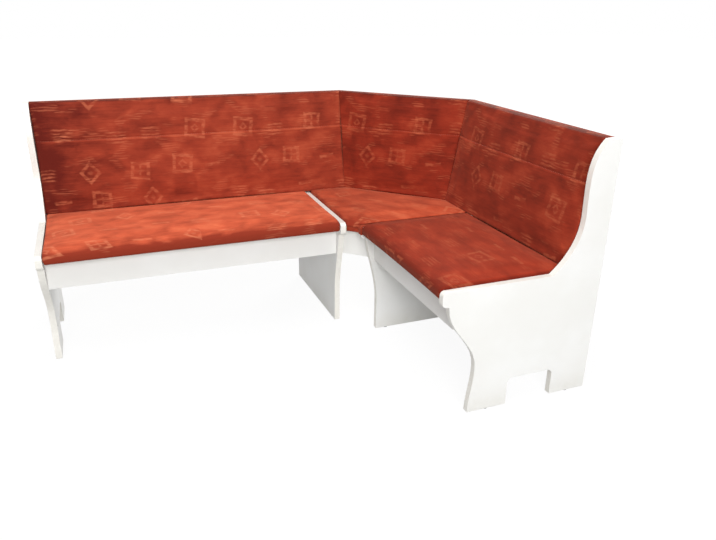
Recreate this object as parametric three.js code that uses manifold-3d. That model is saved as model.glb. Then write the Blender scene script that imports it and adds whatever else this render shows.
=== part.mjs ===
// Corner storage bench: a long and a short arm meet at a corner seat, with upholstered backs
// along both walls. The two arm seats are lids that swing up on pivot pins over a storage chest.
//
// Millimetres, +Z up, floor at z = 0. The room corner is the working origin: the long arm runs
// along -X and the short arm along -Y. The finished group is shifted so that the middle of the
// bench's footprint is the origin.

import * as THREE from 'three';
import { mergeVertices } from 'three/addons/utils/BufferGeometryUtils.js';
import Module from 'manifold-3d';

const wasm = await Module();
wasm.setup();

// Overall sizes, measured from the two walls and the floor
const longArm = 1700;
const shortArm = 1280;
const benchHeight = 862;
const seatHeight = 455;

// Clearances
const seatGap = 0.3;
const overrun = 10;

// Side panels
const panelThickness = 22;
const panelLineDrop = 12;
const noseDepth = 577;
const noseDrop = 34;
const noseRadius = 15;
const shoulderSetback = 24;
const shoulderDrop = 50;
const waistDepth = 446;
const waistHeight = 165;
const endFootDepth = 461;
const innerFootDepth = 507;
const innerThroatHeight = 130;
const archRear = 142;
const archFront = 316;
const archHeight = 100;
const archRadius = 20;

// Back outline of the two end panels
const scoopStartDepth = 190;
const uprightDepth = 95;
const uprightRise = 165;
const swellDepth = 112;
const swellDrop = 62;
const panelTopDepth = 48;

// Floor glides
const glideHeight = 4;
const glideRadius = 9;
const glideStemRadius = 2.5;
const glideStemHeight = 12;
const glideInset = 45;

// Aprons and storage chests
const apronSetback = 54;
const apronThickness = 16;
const chestHeight = 106;
const chestRearThickness = 16;
const chestFloorThickness = 6;
const chestFloorRise = 10;
const grooveDepth = 6;

// Seat lids
const lidThickness = 45;
const seatBoardThickness = 16;
const lidSideGap = 3;
const lidRearGap = 1;
const lidSwingClearance = 3;
const seatSetback = 3;
const edgeWrap = 9;

// Lid pivots
const pivotInset = 58;
const pinRadius = 4;
const pinInBoard = 30;
const bushRadius = 7;
const bushLength = 14;
const bushFlangeRadius = 10;
const bushFlangeThickness = 1.5;
const runningClearance = 0.06;
const pinNotchClearance = 1.5;

// Backs: depth of the upholstered face from the wall at the seat and at the top
const backDepthAtSeat = 125;
const backDepthAtTop = 51;
const cornerBackStart = 455;
const backPadDepth = 34;
const backBoardThickness = 12;
const backBoardInset = 4;
const backSeatGap = 4;
const backRailThickness = 16;
const backRailHeight = 90;
const postThickness = 20;
const postFootDrop = 120;
const postTopDrop = 142;
const cleatTopDrop = 102;
const wallGap = 3;

// Corner seat
const cornerOverhang = 38;
const cornerCushionTuck = 7;
const battenThickness = 20;
const battenHeight = 32;
const battenSetback = 6;

// Corner brackets behind the backs
const bracketLeg = 38;
const bracketThickness = 2.5;
const bracketHeight = 50;
const bracketLowRise = 70;
const bracketTopDrop = 72;

// Upholstery
const seatCrown = 9;
const backCrown = 8;
const padRoll = 12;
const padPull = 3;
const channelDepth = 4;
const channelWidth = 14;
const channelDrop = 140;
const crownPower = 4;
const cornerPadStep = 34;

// Heights and depths that follow from these
const lidBottom = seatHeight - lidThickness;
const chestBottom = lidBottom - chestHeight;
const seatFront = noseDepth - seatSetback;
const cornerSize = noseDepth + cornerOverhang;
const apronFront = noseDepth - apronSetback;
const lidRear = backDepthAtSeat + lidRearGap;
const pivotDepth = lidRear + pivotInset;
const chestRearDepth = pivotDepth + seatBoardThickness / 2 + lidSwingClearance;
const backBottom = seatHeight + backSeatGap;

// Mesh fineness
const roundSides = 24;
const curveSteps = 10;
const padColumns = 20;
const padRows = 10;
const rollSteps = 2;

// Finishes, with colours from the photograph
function finish(color, roughness, metalness) {
  return new THREE.MeshStandardMaterial({ color, roughness, metalness });
}

const whiteLaminate = finish(0xf2f0ea, 0.45, 0);
const rustVelourSeat = finish(0xc65a38, 0.9, 0);
const rustVelourBack = finish(0xa8432b, 0.9, 0);
const paleBoard = finish(0xc9b18a, 0.7, 0);
const beechBatten = finish(0xcfa97a, 0.6, 0);
const zincSteel = finish(0xb4b8bc, 0.35, 0.9);
const greyNylon = finish(0x8d8f92, 0.5, 0);

// The two arms. Inside an arm's group, X runs along the wall, the room is at -Y, and a station is
// a distance from the room corner, on the -X side for the long arm and +X for the short one.
const arms = [
  { name: 'long', side: -1, turn: 0, length: longArm, endPanel: 'left_end_panel' },
  { name: 'short', side: 1, turn: -Math.PI / 2, length: shortArm, endPanel: 'right_end_panel' },
];

function span(arm, near, far) {
  return arm.side < 0 ? [-far, -near] : [near, far];
}

// Depth of the upholstered back face from the wall, at a height
const backSlope = (backDepthAtSeat - backDepthAtTop) / (benchHeight - seatHeight);

function backFace(height) {
  return backDepthAtSeat - backSlope * (height - seatHeight);
}

const boardFront = backPadDepth + seatGap;
const boardRear = boardFront + backBoardThickness;
const channelShare = (benchHeight - channelDrop - backBottom) / (benchHeight - backBottom);

// The corner back stands at 45 degrees to each arm's back, so each mitre is cut at half of that
const mitreShare = Math.tan(Math.PI / 8);

// Closed solids and cuts
function solidOf(geometry) {
  const plain = new THREE.BufferGeometry();
  plain.setAttribute('position', geometry.getAttribute('position').clone());
  if (geometry.index) plain.setIndex(geometry.index.clone());
  const merged = mergeVertices(plain);
  const vertProperties = new Float32Array(merged.getAttribute('position').array);
  const triVerts = new Uint32Array(merged.index.array);
  return new wasm.Manifold(new wasm.Mesh({ numProp: 3, vertProperties, triVerts }));
}

function geometryOf(solid) {
  const { vertProperties, triVerts } = solid.getMesh();
  const geometry = new THREE.BufferGeometry();
  geometry.setAttribute('position', new THREE.BufferAttribute(vertProperties, 3));
  geometry.setIndex(new THREE.BufferAttribute(triVerts, 1));
  geometry.computeVertexNormals();
  return geometry;
}

function carve(geometry, tools) {
  let solid = solidOf(geometry);
  for (const tool of tools) solid = solid.subtract(solidOf(tool));
  return geometryOf(solid);
}

function join(geometry, others) {
  let solid = solidOf(geometry);
  for (const other of others) solid = solid.add(solidOf(other));
  return geometryOf(solid);
}

// A closed body from points and triangles, turned to face out
function closedBody(points, triangles) {
  let volume = 0;
  for (const [a, b, c] of triangles) {
    volume += points[a].dot(new THREE.Vector3().crossVectors(points[b], points[c]));
  }
  const faces = volume < 0 ? triangles.map(([a, b, c]) => [a, c, b]) : triangles;
  const geometry = new THREE.BufferGeometry().setFromPoints(points);
  geometry.setIndex(faces.flat());
  geometry.computeVertexNormals();
  return geometry;
}

function boxBetween(x, y, z) {
  const box = new THREE.BoxGeometry(x[1] - x[0], y[1] - y[0], z[1] - z[0]);
  return box.translate((x[0] + x[1]) / 2, (y[0] + y[1]) / 2, (z[0] + z[1]) / 2);
}

// A board in an arm: stations along the wall, depths from the wall and heights
function boardBetween(x, depths, heights) {
  return boxBetween(x, [-depths[1], -depths[0]], heights);
}

// A profile of depth and height, extruded along an arm
function alongArm(shape, x, steps = curveSteps) {
  const geometry = new THREE.ExtrudeGeometry(shape, {
    depth: x[1] - x[0], bevelEnabled: false, curveSegments: steps,
  });
  const basis = new THREE.Matrix4().makeBasis(
    new THREE.Vector3(0, -1, 0), new THREE.Vector3(0, 0, 1), new THREE.Vector3(-1, 0, 0),
  );
  return geometry.applyMatrix4(basis).translate(x[1], 0, 0);
}

// A cylinder along an arm at a depth and height
function rodAlongArm(radius, x, depth, height) {
  const rod = new THREE.CylinderGeometry(radius, radius, x[1] - x[0], roundSides);
  return rod.rotateZ(Math.PI / 2).translate((x[0] + x[1]) / 2, -depth, height);
}

// A body between a plan outline at one height and the like outline at another
function loft(planAt, low, high) {
  const flat = planAt(low).map(([x, y]) => new THREE.Vector2(x, y));
  const clockwise = THREE.ShapeUtils.isClockWise(flat);
  if (clockwise) flat.reverse();
  const rings = [low, high].map((z) => {
    const plan = clockwise ? planAt(z).reverse() : planAt(z);
    return plan.map(([x, y]) => new THREE.Vector3(x, y, z));
  });
  const count = flat.length;
  const caps = THREE.ShapeUtils.triangulateShape(flat, []);
  const lowCap = caps.map(([a, b, c]) => [a, c, b]);
  const highCap = caps.map(([a, b, c]) => [a + count, b + count, c + count]);
  const lower = flat.map((_, i) => i);
  const upper = flat.map((_, i) => i + count);
  const walls = bandBetween(lower, upper, count);
  return closedBody([...rings[0], ...rings[1]], [...lowCap, ...highCap, ...walls]);
}

// Padded forms: the edge rolls over, the sides draw in between the corners and the face is crowned.
// A roll ring is its share of the pad's thickness and its inset from the side.
function rollRings(thickness) {
  const rings = [{ rise: 0, inset: 0 }];
  for (let i = 0; i < rollSteps; i += 1) {
    const angle = (Math.PI / 2) * (i / rollSteps);
    rings.push({
      rise: 1 - (padRoll * (1 - Math.sin(angle))) / thickness,
      inset: padRoll * (1 - Math.cos(angle)),
    });
  }
  return rings;
}

function loopOfGrid(columns, rows) {
  const loop = [];
  for (let i = 0; i < columns; i += 1) loop.push([i, 0]);
  for (let j = 0; j < rows; j += 1) loop.push([columns, j]);
  for (let i = columns; i > 0; i -= 1) loop.push([i, rows]);
  for (let j = rows; j > 0; j -= 1) loop.push([0, j]);
  return loop;
}

function bandBetween(lower, upper, count) {
  const band = [];
  for (let i = 0; i < count; i += 1) {
    const next = (i + 1) % count;
    band.push([lower[i], lower[next], upper[next]], [lower[i], upper[next], upper[i]]);
  }
  return band;
}

// A four-cornered pad between four corners of its board and four corners of its face
function padBody(board, face, crown, channelShare) {
  const mix = (corners, s, t) => {
    const low = corners[0].clone().lerp(corners[1], s);
    const high = corners[3].clone().lerp(corners[2], s);
    return low.lerp(high, t);
  };
  const width = face[0].distanceTo(face[1]);
  const height = face[0].distanceTo(face[3]);
  const out = mix(face, 0.5, 0.5).sub(mix(board, 0.5, 0.5));
  const thickness = out.length();
  out.normalize();

  const rowShares = Array.from({ length: padRows + 1 }, (_, j) => j / padRows);
  if (channelShare) {
    const edge = channelWidth / height;
    rowShares.push(channelShare - edge, channelShare, channelShare + edge);
    rowShares.sort((a, b) => a - b);
  }
  const rows = rowShares.length - 1;
  const place = (i, j, rise, inset, lift) => {
    const s = i / padColumns;
    const t = rowShares[j];
    const acrossInset = inset + padPull * Math.sin(Math.PI * t);
    const alongInset = inset + padPull * Math.sin(Math.PI * s);
    const sIn = s + (1 - 2 * s) * (acrossInset / width);
    const tIn = t + (1 - 2 * t) * (alongInset / height);
    const point = mix(board, sIn, tIn).lerp(mix(face, sIn, tIn), rise);
    return point.addScaledVector(out, lift);
  };
  const liftAt = (i, j) => {
    const s = i / padColumns;
    const t = rowShares[j];
    const across = 1 - (2 * s - 1) ** crownPower;
    const along = 1 - (2 * t - 1) ** crownPower;
    const channel = t === channelShare ? channelDepth * across : 0;
    return crown * across * along - channel;
  };

  const points = [];
  const loop = loopOfGrid(padColumns, rows);
  const rings = rollRings(thickness).map(({ rise, inset }) => loop.map(([i, j]) => {
    points.push(place(i, j, rise, inset, 0));
    return points.length - 1;
  }));
  const grid = [];
  for (let j = 0; j <= rows; j += 1) {
    grid.push([]);
    for (let i = 0; i <= padColumns; i += 1) {
      points.push(place(i, j, 1, padRoll, liftAt(i, j)));
      grid[j].push(points.length - 1);
    }
  }
  rings.push(loop.map(([i, j]) => grid[j][i]));

  const triangles = [];
  for (let k = 0; k + 1 < rings.length; k += 1) {
    triangles.push(...bandBetween(rings[k], rings[k + 1], loop.length));
  }
  for (let j = 0; j < rows; j += 1) {
    for (let i = 0; i < padColumns; i += 1) {
      const [a, b, c, d] = [grid[j][i], grid[j][i + 1], grid[j + 1][i + 1], grid[j + 1][i]];
      triangles.push([a, b, c], [a, c, d]);
    }
  }
  points.push(mix(board, 0.5, 0.5));
  const middle = points.length - 1;
  loop.forEach((_, i) => triangles.push([rings[0][(i + 1) % loop.length], rings[0][i], middle]));
  return closedBody(points, triangles);
}

// A pad of any convex outline, lying flat
function outlinePadBody(corners, low, high, crown) {
  const edgeSteps = corners.map((corner, k) => {
    const next = corners[(k + 1) % corners.length];
    return Math.max(2, Math.round(corner.distanceTo(next) / cornerPadStep));
  });
  const centre = corners.reduce((sum, c) => sum.add(c), new THREE.Vector2()).divideScalar(corners.length);
  const outline = corners.flatMap((corner, k) => {
    const next = corners[(k + 1) % corners.length];
    const along = next.clone().sub(corner);
    const inward = new THREE.Vector2(-along.y, along.x).normalize();
    if (inward.dot(centre.clone().sub(corner)) < 0) inward.negate();
    return Array.from({ length: edgeSteps[k] }, (_, i) => {
      const share = i / edgeSteps[k];
      const pull = padPull * Math.sin(Math.PI * share) * Math.min(1, along.length() / cornerSize);
      return corner.clone().addScaledVector(along, share).addScaledVector(inward, pull);
    });
  });
  const reach = Math.min(...outline.map((p) => p.distanceTo(centre)));
  const points = [];
  const ringAt = (scale, z) => outline.map((p) => {
    const q = centre.clone().lerp(p, scale);
    points.push(new THREE.Vector3(q.x, q.y, z));
    return points.length - 1;
  });
  const rings = rollRings(high - low).map(({ rise, inset }) => (
    ringAt(1 - inset / reach, low + rise * (high - low))
  ));
  const inner = 1 - padRoll / reach;
  for (let i = 0; i < padRows; i += 1) {
    const share = 1 - i / padRows;
    rings.push(ringAt(inner * share, high + crown * (1 - share ** crownPower)));
  }
  const triangles = [];
  for (let k = 0; k + 1 < rings.length; k += 1) {
    triangles.push(...bandBetween(rings[k], rings[k + 1], outline.length));
  }
  points.push(new THREE.Vector3(centre.x, centre.y, low));
  points.push(new THREE.Vector3(centre.x, centre.y, high + crown));
  const [under, over] = [points.length - 2, points.length - 1];
  const last = rings[rings.length - 1];
  outline.forEach((_, i) => {
    const next = (i + 1) % outline.length;
    triangles.push([rings[0][next], rings[0][i], under], [last[i], last[next], over]);
  });
  return closedBody(points, triangles);
}

// Outlines of the side panels, as depth and height. The shares place the curves' handles.
const throatShares = [0.4, 0.75];
const footShares = [0.35, 0.6];
const waistShares = [0.4, 0.6];
const scoopDepthShare = 0.42;
const scoopRiseShares = [0.18, 0.53];
const swellShare = 0.56;

function between(low, high, share) {
  return low + (high - low) * share;
}

const panelLine = seatHeight - panelLineDrop;
const shoulder = panelLine - shoulderDrop;
const shoulderDepth = noseDepth - shoulderSetback;
const uprightHeight = seatHeight + uprightRise;
const swellHeight = benchHeight - swellDrop;

function noseAndSeatLine(shape, rearDepth) {
  shape.quadraticCurveTo(noseDepth, shoulder, noseDepth, panelLine - noseDrop);
  const [noseX, noseZ] = [noseDepth - noseRadius, panelLine - noseRadius];
  shape.absarc(noseX, noseZ, noseRadius, 0, Math.PI / 2, false);
  shape.lineTo(rearDepth, panelLine);
}

function endPanelShape() {
  const shape = new THREE.Shape();
  shape.moveTo(endFootDepth, glideHeight);
  shape.bezierCurveTo(
    endFootDepth, between(glideHeight, waistHeight, footShares[0]),
    waistDepth, between(glideHeight, waistHeight, footShares[1]),
    waistDepth, waistHeight,
  );
  shape.bezierCurveTo(
    waistDepth, between(waistHeight, shoulder, waistShares[0]),
    shoulderDepth, between(waistHeight, shoulder, waistShares[1]),
    shoulderDepth, shoulder,
  );
  noseAndSeatLine(shape, scoopStartDepth);
  shape.bezierCurveTo(
    between(scoopStartDepth, uprightDepth, scoopDepthShare),
    between(panelLine, uprightHeight, scoopRiseShares[0]),
    uprightDepth, between(panelLine, uprightHeight, scoopRiseShares[1]),
    uprightDepth, uprightHeight,
  );
  shape.bezierCurveTo(
    uprightDepth, between(uprightHeight, swellHeight, swellShare),
    swellDepth, swellHeight,
    panelTopDepth, benchHeight,
  );
  shape.lineTo(0, benchHeight);
  shape.lineTo(0, glideHeight);
  shape.lineTo(archRear, glideHeight);
  shape.absarc(archRear + archRadius, archHeight - archRadius, archRadius, Math.PI, Math.PI / 2, true);
  shape.absarc(archFront - archRadius, archHeight - archRadius, archRadius, Math.PI / 2, 0, true);
  shape.lineTo(archFront, glideHeight);
  return shape;
}

function innerPanelShape() {
  const shape = new THREE.Shape();
  shape.moveTo(innerFootDepth, glideHeight);
  shape.lineTo(innerFootDepth, innerThroatHeight);
  shape.bezierCurveTo(
    innerFootDepth, between(innerThroatHeight, shoulder, throatShares[0]),
    shoulderDepth, between(innerThroatHeight, shoulder, throatShares[1]),
    shoulderDepth, shoulder,
  );
  noseAndSeatLine(shape, 0);
  shape.lineTo(0, glideHeight);
  return shape;
}

// Polygon of depth and height
function profile(corners) {
  return new THREE.Shape(corners.map(([depth, height]) => new THREE.Vector2(depth, height)));
}

const bench = new THREE.Group();
bench.position.set(longArm / 2, shortArm / 2, 0);

function add(group, name, geometry, material) {
  const mesh = new THREE.Mesh(geometry, material);
  mesh.name = name;
  group.add(mesh);
  return mesh;
}

const seatBase = lidBottom + seatGap;
const pivotHeight = seatBase + seatBoardThickness / 2;
const boreRadius = (pinRadius + runningClearance) / Math.cos(Math.PI / roundSides);

// Floor glides under a panel, and the holes for their stems
function glideParts(group, panelName, x, depths) {
  const middle = (x[0] + x[1]) / 2;
  return ['front', 'rear'].map((place, i) => {
    const disc = new THREE.CylinderGeometry(glideRadius, glideRadius, glideHeight - seatGap, roundSides);
    disc.rotateX(Math.PI / 2).translate(0, 0, (glideHeight - seatGap) / 2);
    const stemLength = glideStemHeight + glideHeight / 2;
    const stem = new THREE.CylinderGeometry(glideStemRadius, glideStemRadius, stemLength, roundSides);
    stem.rotateX(Math.PI / 2).translate(0, 0, glideHeight / 2 + stemLength / 2);
    const glide = add(group, `${panelName}_${place}_glide`, join(disc, [stem]), greyNylon);
    glide.position.set(middle, -depths[i], 0);
    const holeRadius = glideStemRadius + seatGap;
    const holeDepth = glideStemHeight + seatGap + overrun;
    const hole = new THREE.CylinderGeometry(holeRadius, holeRadius, holeDepth, roundSides);
    const holeMiddle = glideHeight + glideStemHeight + seatGap - holeDepth / 2;
    return hole.rotateX(Math.PI / 2).translate(middle, -depths[i], holeMiddle);
  });
}

// Pivot pin, its bush and the bush's hole, at one end of a lid
function pivotParts(group, name, face, out, boardEnd) {
  const bush = new THREE.LatheGeometry([
    [boreRadius, 0], [bushFlangeRadius, 0], [bushFlangeRadius, bushFlangeThickness],
    [bushRadius, bushFlangeThickness], [bushRadius, bushFlangeThickness + bushLength],
    [boreRadius, bushFlangeThickness + bushLength], [boreRadius, 0],
  ].map(([radius, along]) => new THREE.Vector2(radius, along)), roundSides);
  bush.rotateZ(-out * Math.PI / 2);
  const bushStart = face - out * (bushFlangeThickness + seatGap);
  add(group, `${name}_pivot_bush`, geometryOf(solidOf(bush)), greyNylon)
    .position.set(bushStart, -pivotDepth, pivotHeight);

  const pinEnd = face + out * (bushLength - bushFlangeThickness);
  const pinStart = boardEnd - out * pinInBoard;
  const pinSpan = [Math.min(pinStart, pinEnd), Math.max(pinStart, pinEnd)];
  const pin = rodAlongArm(pinRadius, pinSpan, pivotDepth, pivotHeight);
  add(group, `${name}_pivot_pin`, pin, zincSteel);

  const holeEnds = [face - out * overrun, face + out * (bushLength + seatGap)];
  const holeSpan = [Math.min(...holeEnds), Math.max(...holeEnds)];
  return rodAlongArm(bushRadius + seatGap, holeSpan, pivotDepth, pivotHeight);
}

// Seat lid: a board with its bored ends and the cushion wrapped over its edges
function lidParts(group, arm, bay, ends) {
  const x = [bay[0] + lidSideGap, bay[1] - lidSideGap];
  const boardX = [x[0] + edgeWrap, x[1] - edgeWrap];
  const depths = [lidRear + edgeWrap, seatFront - edgeWrap];
  const bores = ends.map(({ out }) => {
    const end = out < 0 ? boardX[0] : boardX[1];
    const tips = [end + out * overrun, end - out * (pinInBoard + seatGap)];
    const tipSpan = [Math.min(...tips), Math.max(...tips)];
    return rodAlongArm(pinRadius + seatGap, tipSpan, pivotDepth, pivotHeight);
  });
  const board = boardBetween(boardX, depths, [seatBase, seatBase + seatBoardThickness]);
  add(group, `${arm.name}_seat_board`, carve(board, bores), paleBoard);

  const corner = (i, j, z) => new THREE.Vector3(x[i], j ? -seatFront : -lidRear, z);
  const ring = (z) => [corner(0, 0, z), corner(1, 0, z), corner(1, 1, z), corner(0, 1, z)];
  const pad = padBody(ring(seatBase), ring(seatHeight), seatCrown);
  const pocket = boardBetween(
    [boardX[0] - seatGap, boardX[1] + seatGap],
    [depths[0] - seatGap, depths[1] + seatGap],
    [lidBottom - overrun, seatBase + seatBoardThickness + seatGap],
  );
  const notchReach = pinRadius + pinNotchClearance;
  const notches = ends.map(({ out }) => boardBetween(
    out < 0 ? [x[0] - overrun, boardX[0]] : [boardX[1], x[1] + overrun],
    [pivotDepth - notchReach, pivotDepth + notchReach],
    [lidBottom - overrun, pivotHeight + notchReach],
  ));
  add(group, `${arm.name}_seat_cushion`, carve(pad, [pocket, ...notches]), rustVelourSeat);
  return boardX;
}

// Apron, rear board and grooved floor of the chest under a lid
function chestParts(group, arm, bay) {
  const x = [bay[0] + seatGap, bay[1] - seatGap];
  const floorLow = chestBottom + chestFloorRise;
  const floorHeights = [floorLow, floorLow + chestFloorThickness];
  const grooveHeights = [floorLow - seatGap, floorLow + chestFloorThickness + seatGap];
  const apronRear = apronFront - apronThickness;
  const rearFront = chestRearDepth + chestRearThickness;
  const grooves = boardBetween(
    [x[0] - overrun, x[1] + overrun],
    [rearFront - grooveDepth - seatGap, apronRear + grooveDepth + seatGap],
    grooveHeights,
  );
  const apron = boardBetween(x, [apronRear, apronFront], [chestBottom, lidBottom]);
  const rear = boardBetween(x, [chestRearDepth, rearFront], [chestBottom, lidBottom]);
  add(group, `${arm.name}_front_apron`, carve(apron, [grooves]), whiteLaminate);
  add(group, `${arm.name}_chest_rear_board`, carve(rear, [grooves]), whiteLaminate);
  const floorDepths = [rearFront - grooveDepth, apronRear + grooveDepth];
  add(group, `${arm.name}_chest_floor`, boardBetween(x, floorDepths, floorHeights), whiteLaminate);
}

// Leaning back: board, pad, the rail that it stands on and the wedges behind it
function backParts(group, arm, bay) {
  const outer = arm.length - panelThickness;
  const boardTop = benchHeight - backBoardInset;
  const rearAt = (height) => backFace(height) - boardRear;
  const frontAt = (height) => backFace(height) - boardFront;
  const sideways = (station) => arm.side * station;

  const boardBottom = seatHeight + seatGap;
  const boardPlan = (height) => {
    const [front, rear] = [frontAt(height), rearAt(height)];
    const nearFront = cornerBackStart + seatGap - boardFront * mitreShare;
    const nearRear = cornerBackStart + seatGap - boardRear * mitreShare;
    return [
      [sideways(outer - seatGap), -front], [sideways(nearFront), -front],
      [sideways(nearRear), -rear], [sideways(outer - seatGap), -rear],
    ];
  };
  add(group, `${arm.name}_back_board`, loft(boardPlan, boardBottom, boardTop), paleBoard);

  const near = (inward) => cornerBackStart + seatGap - inward * mitreShare;
  const corner = (far, height, inward) => new THREE.Vector3(
    sideways(far ? outer - seatGap : near(inward)), inward - backFace(height), height,
  );
  const ring = (inward) => [
    corner(false, backBottom, inward), corner(true, backBottom, inward),
    corner(true, benchHeight, inward), corner(false, benchHeight, inward),
  ];
  const pad = padBody(ring(backPadDepth), ring(0), backCrown, channelShare);
  add(group, `${arm.name}_back_cushion`, pad, rustVelourBack);

  const railRear = rearAt(seatHeight);
  const railX = [bay[0] + seatGap, bay[1] - seatGap];
  const railHeights = [seatHeight - backRailHeight, seatHeight];
  const rail = boardBetween(railX, [railRear, railRear + backRailThickness], railHeights);
  add(group, `${arm.name}_back_rail`, rail, whiteLaminate);

  const innerFace = cornerSize + panelThickness + seatGap;
  const postFoot = seatHeight - postFootDrop;
  const postTop = benchHeight - postTopDrop;
  const post = profile([
    [wallGap, postFoot], [railRear - seatGap, postFoot], [railRear - seatGap, seatHeight],
    [rearAt(postTop) - seatGap, postTop], [wallGap, postTop],
  ]);
  const postX = span(arm, innerFace, innerFace + postThickness);
  add(group, `${arm.name}_back_post`, alongArm(post, postX), beechBatten);

  const cleatTop = benchHeight - cleatTopDrop;
  const cleat = profile([
    [wallGap, backBottom], [rearAt(backBottom) - seatGap, backBottom],
    [rearAt(cleatTop) - seatGap, cleatTop], [wallGap, cleatTop],
  ]);
  const cleatX = span(arm, outer - seatGap - postThickness, outer - seatGap);
  add(group, `${arm.name}_back_cleat`, alongArm(cleat, cleatX), beechBatten);
}

for (const arm of arms) {
  const group = new THREE.Group();
  group.rotation.z = arm.turn;
  bench.add(group);

  const bay = span(arm, cornerSize + panelThickness, arm.length - panelThickness);
  const sides = arm.side < 0 ? ['outer', 'inner'] : ['inner', 'outer'];
  const ends = [
    { side: sides[0], out: -1, face: bay[0] },
    { side: sides[1], out: 1, face: bay[1] },
  ];
  const boardX = lidParts(group, arm, bay, ends);
  chestParts(group, arm, bay);
  backParts(group, arm, bay);

  const endDepths = [(archFront + endFootDepth) / 2, archRear / 2];
  const innerDepths = [innerFootDepth - glideInset, glideInset];
  for (const { side, out, face } of ends) {
    const hole = pivotParts(group, `${arm.name}_${side}`, face, out, out < 0 ? boardX[0] : boardX[1]);
    const x = out < 0 ? [face - panelThickness, face] : [face, face + panelThickness];
    const isEnd = side === 'outer';
    const name = isEnd ? arm.endPanel : `${arm.name}_inner_panel`;
    const glideHoles = glideParts(group, name, x, isEnd ? endDepths : innerDepths);
    const panel = alongArm(isEnd ? endPanelShape() : innerPanelShape(), x);
    add(group, name, carve(panel, [hole, ...glideHoles]), whiteLaminate);
  }
}

// Corner seat, in the bench's own frame
const cornerNear = -cornerSize + seatGap;
const battenInner = cornerNear + battenThickness;
const cornerBoardTop = seatBase + seatBoardThickness;
const cornerBoardBottom = cornerBoardTop + seatGap;
const cornerBoardRear = backFace(cornerBoardBottom) - boardRear;
const cornerCushionRear = backDepthAtSeat - cornerCushionTuck;

function planExtrusion(corners, low, high) {
  const shape = new THREE.Shape(corners.map(([x, y]) => new THREE.Vector2(x, y)));
  return new THREE.ExtrudeGeometry(shape, { depth: high - low, bevelEnabled: false }).translate(0, 0, low);
}

// Plan of the corner seat: its front runs straight across from one arm's seat front to the other's
function cornerOutline(side, front, rear) {
  return [
    [side, -rear], [side, -front], [-front, side], [-rear, side],
    [-rear, -cornerBackStart], [-cornerBackStart, -rear],
  ];
}

const cushionOutline = cornerOutline(cornerNear + lidSideGap, seatFront, cornerCushionRear);
const boardOutline = cornerOutline(cornerNear, seatFront - edgeWrap, cornerBoardRear);
add(bench, 'corner_seat_board', planExtrusion(boardOutline, seatBase, cornerBoardTop), paleBoard);
const cornerPad = outlinePadBody(
  cushionOutline.map(([x, y]) => new THREE.Vector2(x, y)), cornerBoardTop + seatGap, seatHeight, seatCrown,
);
add(bench, 'corner_seat_cushion', cornerPad, rustVelourSeat);

// Corner apron, square to the room corner's diagonal
const apronReach = apronThickness * Math.SQRT2;
const apronOutline = [
  [cornerNear, -apronFront], [-apronFront, cornerNear],
  [-apronFront + apronReach, cornerNear], [cornerNear, -apronFront + apronReach],
];
add(bench, 'corner_front_apron', planExtrusion(apronOutline, chestBottom, lidBottom), whiteLaminate);

// Battens that carry the corner board on the two inner panels
const battenHeights = [lidBottom - battenHeight, lidBottom];
const battenFar = [-apronFront + apronReach + seatGap, -cornerBoardRear - battenSetback];
add(bench, 'corner_long_batten', boxBetween([cornerNear, battenInner], battenFar, battenHeights), beechBatten);
add(bench, 'corner_short_batten', boxBetween(battenFar, [cornerNear, battenInner], battenHeights), beechBatten);

// Corner back, in a group whose -Y runs out along the diagonal
const cornerGroup = new THREE.Group();
cornerGroup.rotation.z = -Math.PI / 4;
bench.add(cornerGroup);

function cornerDepth(height, inward) {
  return (cornerBackStart + backFace(height)) / Math.SQRT2 - inward;
}

function cornerHalfWidth(height, inward) {
  const run = cornerBackStart - backFace(height) + inward * (1 - mitreShare);
  return run / Math.SQRT2 - seatGap;
}

function cornerBoardPlan(height) {
  const [front, rear] = [boardFront, boardRear];
  return [
    [-cornerHalfWidth(height, front), -cornerDepth(height, front)],
    [cornerHalfWidth(height, front), -cornerDepth(height, front)],
    [cornerHalfWidth(height, rear), -cornerDepth(height, rear)],
    [-cornerHalfWidth(height, rear), -cornerDepth(height, rear)],
  ];
}

const cornerBoard = loft(cornerBoardPlan, cornerBoardBottom, benchHeight - backBoardInset);
add(cornerGroup, 'corner_back_board', cornerBoard, paleBoard);

function cornerPadRing(inward) {
  const corner = (side, height) => new THREE.Vector3(
    side * cornerHalfWidth(height, inward), -cornerDepth(height, inward), height,
  );
  return [
    corner(-1, backBottom), corner(1, backBottom), corner(1, benchHeight), corner(-1, benchHeight),
  ];
}

const cornerBackPad = padBody(cornerPadRing(backPadDepth), cornerPadRing(0), backCrown, channelShare);
add(cornerGroup, 'corner_back_cushion', cornerBackPad, rustVelourBack);

// Bent plates behind the joints of the three back boards
function bracketPlan(height) {
  const inward = boardRear + seatGap;
  const outer = inward + bracketThickness;
  const jointX = -cornerBackStart + inward * mitreShare;
  const jointY = inward - backFace(height);
  const outerX = -cornerBackStart + outer * mitreShare;
  const outerY = outer - backFace(height);
  const leg = bracketLeg / Math.SQRT2;
  const back = bracketThickness / Math.SQRT2;
  return [
    [jointX - bracketLeg, jointY], [jointX, jointY], [jointX + leg, jointY - leg],
    [jointX + leg + back, jointY - leg + back], [outerX, outerY], [jointX - bracketLeg, outerY],
  ];
}

const bracketCentres = { lower: seatHeight + bracketLowRise, upper: benchHeight - bracketTopDrop };
for (const [level, centre] of Object.entries(bracketCentres)) {
  const [low, high] = [centre - bracketHeight / 2, centre + bracketHeight / 2];
  const mirrored = (height) => bracketPlan(height).map(([x, y]) => [y, x]);
  add(bench, `long_${level}_bracket`, loft(bracketPlan, low, high), zincSteel);
  add(bench, `short_${level}_bracket`, loft(mirrored, low, high), zincSteel);
}

export default bench;
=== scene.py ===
"""Corner storage bench: white laminated boards and rust velour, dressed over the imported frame."""

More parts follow.
